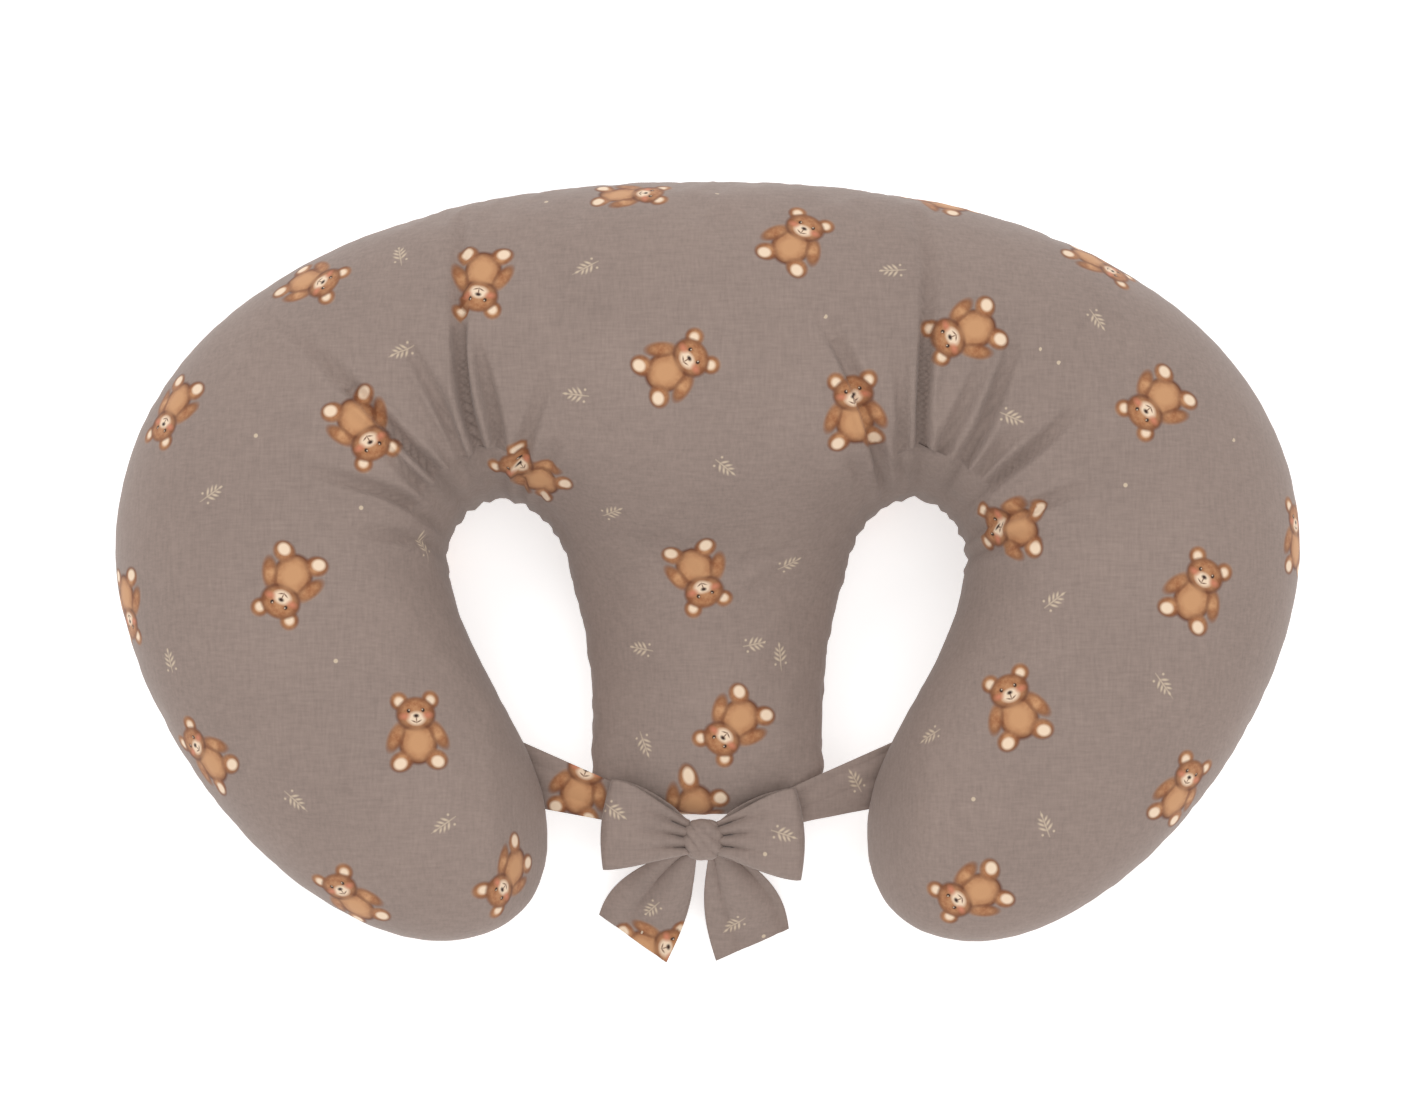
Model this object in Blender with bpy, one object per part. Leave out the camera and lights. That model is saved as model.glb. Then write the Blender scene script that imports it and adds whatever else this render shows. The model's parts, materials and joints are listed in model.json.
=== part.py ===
"""Nursing pillow: a stuffed C-shaped cushion with a tongue between its arms, tied shut with a bow.

Metres, +Z up. The pillow lies on its underside at Z = 0, its back edge towards +Y and its two arms towards
-Y. X = 0 is the plane between the arms, and the origin is the middle of the model's footprint.
"""

import math

import bmesh
import bpy
import numpy as np
from mathutils import Matrix, Vector
from mathutils.bvhtree import BVHTree
from mathutils.geometry import delaunay_2d_cdt

# Outline of the cushion at its widest, seen from above. It is the same on both sides of X = 0.
PILLOW_WIDTH = 0.621
BACK_EDGE_Y = 0.206
BACK_RADIUS = 0.620
WIDEST_Y = 0.008
ARM_TIP_X = 0.143
ARM_TIP_Y = -0.195
ARM_WAIST_Y = -0.137
ARM_GAP = 0.168
LEG_HOLE_TOP_X = 0.1075
LEG_HOLE_TOP_Y = 0.0355
LEG_HOLE_SIDE_X = 0.1345
LEG_HOLE_SIDE_Y = 0.0045
TONGUE_WIDTH = 0.1226
TONGUE_WAIST_Y = -0.0855
TONGUE_END_Y = -0.128
TONGUE_CORNER = 0.022
SHOULDER_POWER = 2.2
FLANK_POWER = 1.66
TIP_POWER = 2.5
HOLE_POWER = 1.9

# Heights of the stuffed cushion.
MID_HEIGHT = 0.060
LOFT = 0.072
LOFT_WIDTH = 0.176
MOST_LOFT = 1.12
LOFT_LIMIT_POWER = 6
TONGUE_MID_HEIGHT = 0.030
TONGUE_LOFT_SHARE = 0.62
TONGUE_BLEND_INNER_X = 0.070
TONGUE_BLEND_OUTER_X = 0.112
TONGUE_BLEND_LENGTH = 0.095

# Where the two cover panels meet, below the widest line.
SEAM_INSET = 0.0065
SEAM_DROP = 0.027
SHOULDER_INSET = 0.016
SHOULDER_DROP = 0.042
SEAM_GAP = 0.0003

# Layers, measured inwards from the outside of the cover. Beside the zip and the elastic the inner cushion
# sits deeper, to make room for them.
COVER_THICKNESS = 0.0005
CASING_DEPTH = 0.0007
CASING_THICKNESS = 0.0003
FILL_DEPTH = 0.0012
ZIP_POCKET = 0.0042
ELASTIC_POCKET = 0.0024
POCKET_REACH = 0.030

# Mesh spacing.
OUTLINE_STEP = 0.021
BACK_STEP = 0.0125
HOLE_STEP = 0.010
LATTICE_STEP = 0.030
SPIN_STEP = 0.0125

# The elastic that gathers the top of each leg hole, sewn inside the seam.
ELASTIC_WIDTH = 0.007
ELASTIC_THICKNESS = 0.0008
ELASTIC_DEPTH = 0.0010
ELASTIC_REACH_Y = -0.012
ELASTIC_LIFT_SHARE = 0.1

# The zip in the back seam, a nylon coil zip. Depths are measured from the line through the seam.
ZIP_LENGTH = 0.250
ZIP_WINDOW = 0.0044
ZIP_END_TAPE = 0.0060
TAPE_WIDTH = 0.0125
TAPE_THICKNESS = 0.0004
TAPE_DEPTH = 0.0009
COIL_SEAT_DEPTH = 0.0018
COIL_GAP = 0.00045
COIL_WIDTH = 0.0021
COIL_THICKNESS = 0.0018
STOP_LENGTH = 0.0030
STOP_GAP = 0.0004
CLEARANCE = 0.0004
SLIDER_LENGTH = 0.0095
SLIDER_PLATE = 0.0009
SLIDER_FLANGE = 0.0008
BLADE_THICKNESS = 0.0004
BLADE_LENGTH = 0.0024
CROWN_LENGTH = 0.0068
CROWN_WIDTH = 0.0014
CROWN_BAR = 0.0009
PULL_THICKNESS = 0.0011
PULL_WIDTH = 0.0052
PULL_LENGTH = 0.0200
PULL_HOLE = 0.0015

# The tie and its bow.
TIE_THICKNESS = 0.0010
TIE_CLEARANCE = 0.0010
TIE_SEWN_BACK_Y = -0.085
TIE_SEWN_FRONT_Y = -0.124
TIE_SEAM_GAP = 0.0008
TIE_CORNER_BACK = (0.0520, -0.1110)
TIE_CORNER_FRONT = (0.0530, -0.1320)
TIE_KNOT_WIDTH = 0.0120
TIE_KNOT_DROP = 0.0042
TIE_KNOT_BACK_SHARE = 0.75
KNOT_CENTRE = (-0.0024, -0.1420, 0.0420)
KNOT_SIZE = (0.0205, 0.0215, 0.0170)
KNOT_GAP = 0.0012
KNOT_RINGS = 9
KNOT_SIDES = 16
KNOT_SQUARENESS = 0.7
LOOP_PINCH = 0.0120
LOOP_ROOT_OPENING = 0.0014
LOOP_OPENING = 0.0100
LOOP_FULLEST = 0.62
LOOP_FOLD_SHARE = 0.3
LOOP_SPREAD_START = -0.35
LOOP_ROOT_SPREAD = 0.8
LOOP_RISE = 0.0040
LOOP_TILT = 1.5
LOOP_DRAPE_REACH = 0.006
LEFT_LOOP_BACK = (-0.0500, -0.1115)
LEFT_LOOP_FRONT = (-0.0545, -0.1580)
RIGHT_LOOP_BACK = (0.0460, -0.1160)
RIGHT_LOOP_FRONT = (0.0486, -0.1635)
TAIL_PINCH = 0.0090
TAIL_ROOT_SHARE = 0.5
TAIL_FLARE = 0.8
TAIL_DROOP = 1.5
LEFT_TAIL_OUTER = (-0.0580, -0.1805)
LEFT_TAIL_INNER = (-0.0220, -0.2059)
RIGHT_TAIL_OUTER = (0.0434, -0.1880)
RIGHT_TAIL_INNER = (0.0045, -0.2050)
TAIL_BULGE = 0.0060
TAIL_REST = 0.0004


# ---------------------------------------------------------------------------------------------- helpers
def material(name, colour, roughness, metallic=0.0):
    made = bpy.data.materials.new(name)
    made.use_nodes = True
    shader = made.node_tree.nodes["Principled BSDF"]
    shader.inputs["Base Color"].default_value = (*colour, 1.0)
    shader.inputs["Roughness"].default_value = roughness
    shader.inputs["Metallic"].default_value = metallic
    made.diffuse_color = (*colour, 1.0)
    return made


def add_object(name, points, faces, finish, smooth_angle=50.0, origin=(0, 0, 0)):
    """A mesh object from points and faces, facing outwards and shaded smooth except over sharp edges."""
    work = bmesh.new()
    corners = [work.verts.new(Vector(p) - Vector(origin)) for p in points]
    for face in faces:
        work.faces.new([corners[i] for i in face])
    if work.calc_volume(signed=True) < 0:
        bmesh.ops.reverse_faces(work, faces=work.faces)
    mesh = bpy.data.meshes.new(name)
    work.to_mesh(mesh)
    work.free()
    mesh.materials.append(finish)
    mesh.shade_smooth()
    mesh.set_sharp_from_angle(angle=math.radians(smooth_angle))
    obj = bpy.data.objects.new(name, mesh)
    obj.location = origin
    bpy.context.scene.collection.objects.link(obj)
    return obj


def slab(name, outer, inner, finish, smooth_angle=50.0, origin=(0, 0, 0)):
    """A closed sheet between two grids of points, each of the shape (rows, columns, 3)."""
    rows, columns = outer.shape[:2]
    size = rows * columns
    index = np.arange(size).reshape(rows, columns)
    faces = []
    for i in range(rows - 1):
        for j in range(columns - 1):
            face = (index[i, j], index[i, j + 1], index[i + 1, j + 1], index[i + 1, j])
            faces += [face, tuple(k + size for k in reversed(face))]
    rim = [*index[0, :], *index[1:, -1], *index[-1, -2::-1], *index[-2:0:-1, 0]]
    for a, b in zip(rim, rim[1:] + rim[:1]):
        faces.append((b, a, a + size, b + size))
    points = np.concatenate([outer.reshape(-1, 3), inner.reshape(-1, 3)])
    return add_object(name, points, faces, finish, smooth_angle, origin)


def thickened(grid, thickness):
    """Two grids, half a thickness to each side of a grid of points."""
    along = np.gradient(grid, axis=0)
    across = np.gradient(grid, axis=1)
    normals = np.cross(along, across)
    normals /= np.linalg.norm(normals, axis=2)[..., None]
    return grid + normals * thickness / 2, grid - normals * thickness / 2


def box_mesh(low, high):
    """A bmesh box between two corners."""
    work = bmesh.new()
    bmesh.ops.create_cube(work, size=1.0)
    size = [b - a for a, b in zip(low, high)]
    middle = [(a + b) / 2 for a, b in zip(low, high)]
    bmesh.ops.scale(work, vec=size, verts=work.verts)
    bmesh.ops.translate(work, vec=middle, verts=work.verts)
    return work


def disc_mesh(centre, radius, low, high, sides=20):
    """A bmesh cylinder on the third axis, between two heights."""
    work = bmesh.new()
    bmesh.ops.create_cone(
        work, cap_ends=True, segments=sides, radius1=radius, radius2=radius, depth=high - low
    )
    bmesh.ops.translate(work, vec=(*centre, (low + high) / 2), verts=work.verts)
    return work


def carved(name, steps, finish, place):
    """One solid from (operation, bmesh) steps, moved by a matrix; its object's origin is the matrix's."""
    helpers = []
    for number, (_, work) in enumerate(steps):
        mesh = bpy.data.meshes.new(f"{name}_{number}")
        work.to_mesh(mesh)
        work.free()
        helper = bpy.data.objects.new(f"{name}_{number}", mesh)
        bpy.context.scene.collection.objects.link(helper)
        helpers.append(helper)
    base = helpers[0]
    for helper, (operation, _) in zip(helpers[1:], steps[1:]):
        boolean = base.modifiers.new(helper.name, "BOOLEAN")
        boolean.operation, boolean.object, boolean.solver = operation, helper, "EXACT"
    bpy.context.view_layer.update()
    graph = bpy.context.evaluated_depsgraph_get()
    mesh = bpy.data.meshes.new_from_object(base.evaluated_get(graph))
    mesh.name = name
    mesh.materials.clear()
    mesh.materials.append(finish)
    mesh.shade_smooth()
    mesh.set_sharp_from_angle(angle=math.radians(35))
    for helper in helpers:
        bpy.data.objects.remove(helper, do_unlink=True)
    obj = bpy.data.objects.new(name, mesh)
    obj.matrix_world = place
    bpy.context.scene.collection.objects.link(obj)
    return obj


def smoothstep(value, low, high):
    share = np.clip((value - low) / (high - low), 0.0, 1.0)
    return share * share * (3.0 - 2.0 * share)


# ---------------------------------------------------------------------------------------------- outline
def super_arc(centre, radii, power, start, stop, count=60):
    """Points of a superellipse between two angles in degrees; power 2 is an ellipse."""
    angle = np.radians(np.linspace(start, stop, count))
    across, up = np.cos(angle), np.sin(angle)
    x = centre[0] + radii[0] * np.sign(across) * np.abs(across) ** (2.0 / power)
    y = centre[1] + radii[1] * np.sign(up) * np.abs(up) ** (2.0 / power)
    return np.stack([x, y], axis=1)


def spaced(points, step):
    """The same line with its points about one step apart, both ends kept."""
    along = np.concatenate([[0.0], np.cumsum(np.linalg.norm(np.diff(points, axis=0), axis=1))])
    at = np.linspace(0.0, along[-1], max(2, round(along[-1] / step) + 1))
    return np.stack([np.interp(at, along, points[:, k]) for k in range(2)], axis=1)


def half_outline():
    """The outline's +X half, from the middle of the back round the arm and the leg hole to the tongue's end."""
    half_width = PILLOW_WIDTH / 2
    back_x = ZIP_LENGTH / 2 + BACK_STEP
    back_angle = math.degrees(math.asin(back_x / BACK_RADIUS))
    back = super_arc((0, BACK_EDGE_Y - BACK_RADIUS), (BACK_RADIUS, BACK_RADIUS), 2, 90, 90 - back_angle)
    rise = BACK_EDGE_Y - WIDEST_Y
    start = math.degrees(math.atan2(
        (1 - (back_x / half_width) ** SHOULDER_POWER) ** 0.5, (back_x / half_width) ** (SHOULDER_POWER / 2)
    ))
    shoulder = super_arc((0, WIDEST_Y), (half_width, rise), SHOULDER_POWER, start, 0)
    flank = super_arc(
        (ARM_TIP_X, WIDEST_Y), (half_width - ARM_TIP_X, WIDEST_Y - ARM_TIP_Y), FLANK_POWER, 0, -90
    )
    tip = super_arc(
        (ARM_TIP_X, ARM_WAIST_Y), (ARM_TIP_X - ARM_GAP / 2, ARM_WAIST_Y - ARM_TIP_Y), TIP_POWER, 270, 180
    )
    inner_y = np.linspace(ARM_WAIST_Y, LEG_HOLE_SIDE_Y, 60)
    inner_x = ARM_GAP / 2 + (LEG_HOLE_SIDE_X - ARM_GAP / 2) * smoothstep(inner_y, ARM_WAIST_Y, LEG_HOLE_SIDE_Y)
    inner = np.stack([inner_x, inner_y], axis=1)
    hole_radii = (LEG_HOLE_SIDE_X - LEG_HOLE_TOP_X, LEG_HOLE_TOP_Y - LEG_HOLE_SIDE_Y)
    hole_top = super_arc((LEG_HOLE_TOP_X, LEG_HOLE_SIDE_Y), hole_radii, HOLE_POWER, 0, 90)
    tongue_half = TONGUE_WIDTH / 2
    tongue_radii = (LEG_HOLE_TOP_X - tongue_half, LEG_HOLE_TOP_Y - TONGUE_WAIST_Y)
    tongue_side = super_arc((LEG_HOLE_TOP_X, TONGUE_WAIST_Y), tongue_radii, 2, 90, 180)
    corner_centre = (tongue_half - TONGUE_CORNER, TONGUE_END_Y + TONGUE_CORNER)
    corner = super_arc(corner_centre, (TONGUE_CORNER, TONGUE_CORNER), 2, 0, -90, 12)
    end = np.array([corner[-1], (0.0, TONGUE_END_Y)])
    stretches = (
        (back, BACK_STEP), (shoulder[1:], OUTLINE_STEP), (flank, OUTLINE_STEP), (tip, OUTLINE_STEP),
        (inner, OUTLINE_STEP), (hole_top, HOLE_STEP), (tongue_side, OUTLINE_STEP), (corner, HOLE_STEP),
        (end, OUTLINE_STEP),
    )
    points = []
    for stretch, step in stretches:
        for point in spaced(stretch, step):
            if not points or np.linalg.norm(point - points[-1]) > HOLE_STEP / 4:
                points.append(point)
    return np.array(points)


def closed_outline():
    """The whole outline, anticlockwise."""
    half = half_outline()
    mirrored = half[::-1][1:-1] * (-1, 1)
    loop = np.concatenate([half, mirrored])
    return loop[::-1]


def outward(loop):
    """Unit vectors that point out of an anticlockwise loop at each of its points."""
    along = np.roll(loop, -1, axis=0) - np.roll(loop, 1, axis=0)
    out = np.stack([along[:, 1], -along[:, 0]], axis=1)
    return out / np.linalg.norm(out, axis=1)[:, None]


def distance_to_loop(points, loop):
    """The distance from each point to the nearest stretch of a closed loop."""
    start, run = loop, np.roll(loop, -1, axis=0) - loop
    gap = points[:, None, :] - start[None]
    share = np.clip((gap * run).sum(2) / (run * run).sum(1), 0.0, 1.0)
    return np.linalg.norm(gap - share[..., None] * run, axis=2).min(axis=1)


# ------------------------------------------------------------------------------------- cushion's surface
def plan_mesh(loop):
    """(points, faces, rings): the flat plan as two rings inside the outline and a triangle lattice."""
    out = outward(loop)
    rings = [loop, loop - out * SEAM_INSET, loop - out * SHOULDER_INSET]
    count = len(loop)
    faces = []
    for ring in range(2):
        for i in range(count):
            j = (i + 1) % count
            a, b, c, d = ring * count + i, ring * count + j, (ring + 1) * count + j, (ring + 1) * count + i
            faces += [(a, b, c), (a, c, d)]
    low, high = loop.min(axis=0), loop.max(axis=0)
    row_step = LATTICE_STEP * math.sqrt(3) / 2
    rows = np.arange(low[1], high[1], row_step)
    lattice = []
    for number, y in enumerate(rows):
        columns = math.ceil(high[0] / LATTICE_STEP)
        shift = LATTICE_STEP / 2 if number % 2 else 0.0
        lattice += [(i * LATTICE_STEP + shift, y) for i in range(-columns - 1, columns + 1)]
    lattice = np.array(lattice)
    inner_ring = rings[2]
    inside = winding(lattice, inner_ring) & (distance_to_loop(lattice, inner_ring) > LATTICE_STEP * 0.5)
    lattice = lattice[inside]
    flat = [Vector(p) for p in np.concatenate([inner_ring, lattice])]
    ring_edges = [(i, (i + 1) % count) for i in range(count)]
    points, _, triangles, _, _, _ = delaunay_2d_cdt(flat, ring_edges, [list(range(count))], 1, 1e-6)
    assert len(points) == len(flat), "the lattice met the ring"
    faces += [tuple(2 * count + i for i in triangle) for triangle in triangles]
    return np.concatenate([rings[0], rings[1], np.array([tuple(p) for p in points])]), faces, count


def winding(points, loop):
    """Which points lie inside a closed loop, by counting the sides that cross a ray to +X."""
    a, b = loop, np.roll(loop, -1, axis=0)
    x, y = points[:, :1], points[:, 1:]
    crosses = (a[:, 1] > y) != (b[:, 1] > y)
    rise = np.where(b[:, 1] == a[:, 1], 1.0, b[:, 1] - a[:, 1])
    at = a[:, 0] + (y - a[:, 1]) * (b[:, 0] - a[:, 0]) / rise
    return (crosses & (x < at)).sum(axis=1) % 2 == 1


def film(points, faces, fixed):
    """Height of a soap film blown up over the plan and held at its first `fixed` points.

    It solves Poisson's equation with a source of 4 on the triangles of the plan, so a straight strip of
    half-width a has the height 2 * (a * a - x * x).
    """
    size = len(points)
    stiffness, load = np.zeros((size, size)), np.zeros(size)
    for a, b, c in faces:
        corner = points[[a, b, c]]
        edges = np.roll(corner, 1, axis=0) - np.roll(corner, -1, axis=0)
        area = abs(edges[0][0] * edges[1][1] - edges[0][1] * edges[1][0]) / 2
        stiffness[np.ix_([a, b, c], [a, b, c])] += edges @ edges.T / (4 * area)
        load[[a, b, c]] += 4 * area / 3
    free = np.arange(fixed, size)
    height = np.zeros(size)
    height[free] = np.linalg.solve(stiffness[np.ix_(free, free)], load[free])
    return height


def tongue_share(points):
    """1 on the tongue, 0 on the arms and back, and between them a smooth change round the leg holes' tops."""
    sideways = 1.0 - smoothstep(np.abs(points[:, 0]), TONGUE_BLEND_INNER_X, TONGUE_BLEND_OUTER_X)
    top = LEG_HOLE_TOP_Y + TONGUE_BLEND_LENGTH / 3
    forwards = 1.0 - smoothstep(points[:, 1], top - TONGUE_BLEND_LENGTH, top)
    return sideways * forwards


def near_zip(points):
    """1 in the zip's stretch of the back edge, 0 well past its ends."""
    along = 1.0 - smoothstep(np.abs(points[:, 0]), ZIP_LENGTH / 2 + BACK_STEP, ZIP_LENGTH / 2 + 4 * BACK_STEP)
    return along * (points[:, 1] > BACK_EDGE_Y / 2)


class Cushion:
    """The closed outer surface: top points first, then the bottom's own points; both share the outline."""

    def __init__(self):
        loop = closed_outline()
        self.plan, self.plan_faces, self.count = plan_mesh(loop)
        height = film(self.plan, self.plan_faces, self.count)
        rise = np.sqrt(height / (2 * (LOFT_WIDTH / 2) ** 2))
        rise = rise / (1 + (rise / MOST_LOFT) ** LOFT_LIMIT_POWER) ** (1 / LOFT_LIMIT_POWER)
        tongue = tongue_share(self.plan)
        scale = 1 + (TONGUE_LOFT_SHARE - 1) * tongue
        middle = MID_HEIGHT + (TONGUE_MID_HEIGHT - MID_HEIGHT) * tongue
        self.count_plan = len(self.plan)
        top = np.column_stack([self.plan, middle + LOFT * scale * rise])
        bottom_z = middle - LOFT * scale * rise
        seam = slice(self.count, 2 * self.count)
        bottom_z[seam] = (middle - SEAM_DROP * scale)[seam]
        shoulder = slice(2 * self.count, 3 * self.count)
        by_zip = near_zip(self.plan)[shoulder]
        drawn = MID_HEIGHT - SHOULDER_DROP
        bottom_z[shoulder] += (drawn - bottom_z[shoulder]) * by_zip
        bottom = np.column_stack([self.plan, np.maximum(bottom_z, 0.0)])[self.count:]
        self.points = np.concatenate([top, bottom])
        self.top_faces = list(self.plan_faces)
        under = [tuple(self.under(i) for i in reversed(f)) for f in self.plan_faces]
        self.skirt_faces = under[:2 * self.count]
        self.bottom_faces = under[2 * self.count:]
        self.normals = self.vertex_normals()
        self.seam = np.arange(self.count) + self.under(self.count)
        self.shoulder = self.seam + self.count
        self.pocket = self.pocket_depth()

    def under(self, index):
        """The bottom's point below a plan point; on the outline they are one point."""
        return index if index < self.count else index + self.count_plan - self.count

    def vertex_normals(self):
        """Unit normals of the closed surface, out of the cushion, weighted by face area."""
        normals = np.zeros_like(self.points)
        for face in self.top_faces + self.skirt_faces + self.bottom_faces:
            a, b, c = self.points[list(face)]
            normals[list(face)] += np.cross(b - a, c - a)
        return normals / np.linalg.norm(normals, axis=1)[:, None]

    def pocket_depth(self):
        """How much deeper the inner cushion sits at each point, beside the zip and the leg holes' elastic."""
        seam = self.points[self.seam]
        wanted = np.where(self.in_zip(ZIP_END_TAPE + BACK_STEP), ZIP_POCKET, 0.0)
        wanted = np.where(self.in_hole_top(), ELASTIC_POCKET, wanted)
        depth = np.zeros(len(self.points))
        for point, most in zip(seam[wanted > 0], wanted[wanted > 0]):
            away = np.linalg.norm(self.points - point, axis=1)
            depth = np.maximum(depth, most * (1 - smoothstep(away, HOLE_STEP, POCKET_REACH)))
        return depth

    def in_zip(self, past_end):
        """Which outline points lie in the zip's stretch of the back, or up to a length past its ends."""
        outline = self.points[:self.count]
        return (np.abs(outline[:, 0]) < ZIP_LENGTH / 2 + past_end) & (outline[:, 1] > BACK_EDGE_Y / 2)

    def in_hole_top(self):
        """Which outline points lie round the top of a leg hole, where the elastic is."""
        x, y = np.abs(self.points[:self.count, 0]), self.points[:self.count, 1]
        return (x > TONGUE_WIDTH / 2) & (x < LEG_HOLE_SIDE_X + OUTLINE_STEP / 4) & (y > ELASTIC_REACH_Y) & (
            y < LEG_HOLE_TOP_Y + OUTLINE_STEP / 4
        )

    def inside(self, depth):
        """All the surface's points, moved straight in by a depth; layers past the cover follow the pockets."""
        depths = np.full(len(self.points), depth)
        if depth >= CASING_DEPTH:
            depths += self.pocket
        return self.points - self.normals * depths[:, None]

    def panel(self, name, faces, depth, thickness, towards, gap, finish):
        """An open shell of some of the surface's faces, its seam edge drawn back by half of each gap."""
        outer, inner = self.inside(depth), self.inside(depth + thickness)
        for shell in (outer, inner):
            back = shell[towards] - shell[self.seam]
            back /= np.linalg.norm(back, axis=1)[:, None]
            shell[self.seam] += back * (gap / 2)[:, None]
        used = sorted({i for f in faces for i in f})
        place = {old: new for new, old in enumerate(used)}
        size = len(used)
        points = np.concatenate([outer[used], inner[used]])
        made = [tuple(place[i] for i in f) for f in faces]
        made += [tuple(place[i] + size for i in reversed(f)) for f in faces]
        directed = {(f[k], f[(k + 1) % len(f)]) for f in faces for k in range(len(f))}
        rim = [(a, b) for a, b in directed if (b, a) not in directed]
        made += [(place[b], place[a], place[a] + size, place[b] + size) for a, b in rim]
        return add_object(name, points, made, finish)

    def top_panel(self, name, depth, thickness, gap, finish):
        faces = self.top_faces + self.skirt_faces
        return self.panel(name, faces, depth, thickness, np.arange(self.count), gap, finish)

    def bottom_panel(self, name, depth, thickness, gap, finish):
        return self.panel(name, self.bottom_faces, depth, thickness, self.shoulder, gap, finish)

    def solid(self, name, depth, finish):
        faces = self.top_faces + self.skirt_faces + self.bottom_faces
        return add_object(name, self.inside(depth), faces, finish)

    def zip_gap(self):
        """The gap between the cover panels at each seam point: wide in the zip's stretch of the back."""
        return np.where(self.in_zip(BACK_STEP / 4), 2 * ZIP_WINDOW, SEAM_GAP)

    def top_height(self):
        """A function of (x, y): the height of the cushion's upper side, or None beside it."""
        tree = BVHTree.FromPolygons([Vector(p) for p in self.points], self.top_faces)
        high = Vector((0, 0, 1))

        def height(x, y):
            hit = tree.ray_cast(Vector((x, y, 0)) + high, -high)[0]
            return None if hit is None else hit.z

        return height


# ---------------------------------------------------------------------------------------------- the zip
class ZipFrame:
    """The section square to the back seam. Its points are (radius from the back's centre, height)."""

    def __init__(self, cushion):
        middle = int(np.argmax(cushion.points[cushion.seam][:, 1]))
        widest, seam, shoulder = (
            np.array([np.hypot(p[0], p[1] - BACK_EDGE_Y + BACK_RADIUS), p[2]])
            for p in (cushion.points[k][middle] for k in (slice(0, cushion.count), cushion.seam, cushion.shoulder))
        )
        self.origin = seam
        self.up, self.down = (self.unit(step) for step in (widest - seam, shoulder - seam))
        self.across = self.unit(widest - shoulder)
        self.out = self.normal(self.across)

    @staticmethod
    def unit(step):
        return step / np.linalg.norm(step)

    @staticmethod
    def normal(along):
        """The outward unit normal of a line that climbs the surface."""
        return np.array([along[1], -along[0]])

    def centred(self, across, depth):
        """A point beside the seam, in the section's own axes."""
        return self.origin + self.across * across - self.out * depth

    def panel_side(self, side, distance, depth):
        """A point under the upper (+1) or lower (-1) panel, a distance from the seam."""
        along = self.up if side > 0 else self.down
        out = self.normal(self.up) if side > 0 else self.normal(-self.down)
        return self.origin + along * distance - out * depth

    def bend(self, side, middle_depth, side_depth):
        """Where a line at one depth beside the seam meets the line at another depth under the panel."""
        a, b = self.centred(0, middle_depth), self.panel_side(side, 0, side_depth)
        along = self.up if side > 0 else self.down
        ends = np.linalg.solve(np.column_stack([self.across, -along]), b - a)
        return a + self.across * ends[0]

    @staticmethod
    def place(point, angle):
        """The point in space at a turn from +Y; a positive angle lies towards +X."""
        radius, height = point
        return (radius * math.sin(angle), radius * math.cos(angle) + BACK_EDGE_Y - BACK_RADIUS, height)

    def sweep(self, name, section, start, stop, finish):
        """A closed section carried round the back's centre from one angle to another."""
        steps = max(1, round(abs(stop - start) * BACK_RADIUS / SPIN_STEP))
        size = len(section)
        points = [self.place(p, a) for a in np.linspace(start, stop, steps + 1) for p in section]
        faces = [tuple(range(size)), tuple(reversed(range(steps * size, (steps + 1) * size)))]
        for ring in range(steps):
            for i in range(size):
                j = (i + 1) % size
                low = ring * size
                faces.append((low + j, low + i, low + size + i, low + size + j))
        return add_object(name, points, faces, finish, 35)

    def matrix(self, angle, across, depth):
        """Axes at a place on the zip: X back along the closed chain, Y across it and up, Z out of the pillow."""
        out = Vector(self.place(self.out, angle)) - Vector(self.place((0, 0), angle))
        up = Vector(self.place(self.across, angle)) - Vector(self.place((0, 0), angle))
        axes = Matrix((up.cross(out), up, out)).transposed()
        return Matrix.Translation(self.place(self.centred(across, depth), angle)) @ axes.to_4x4()


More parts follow.
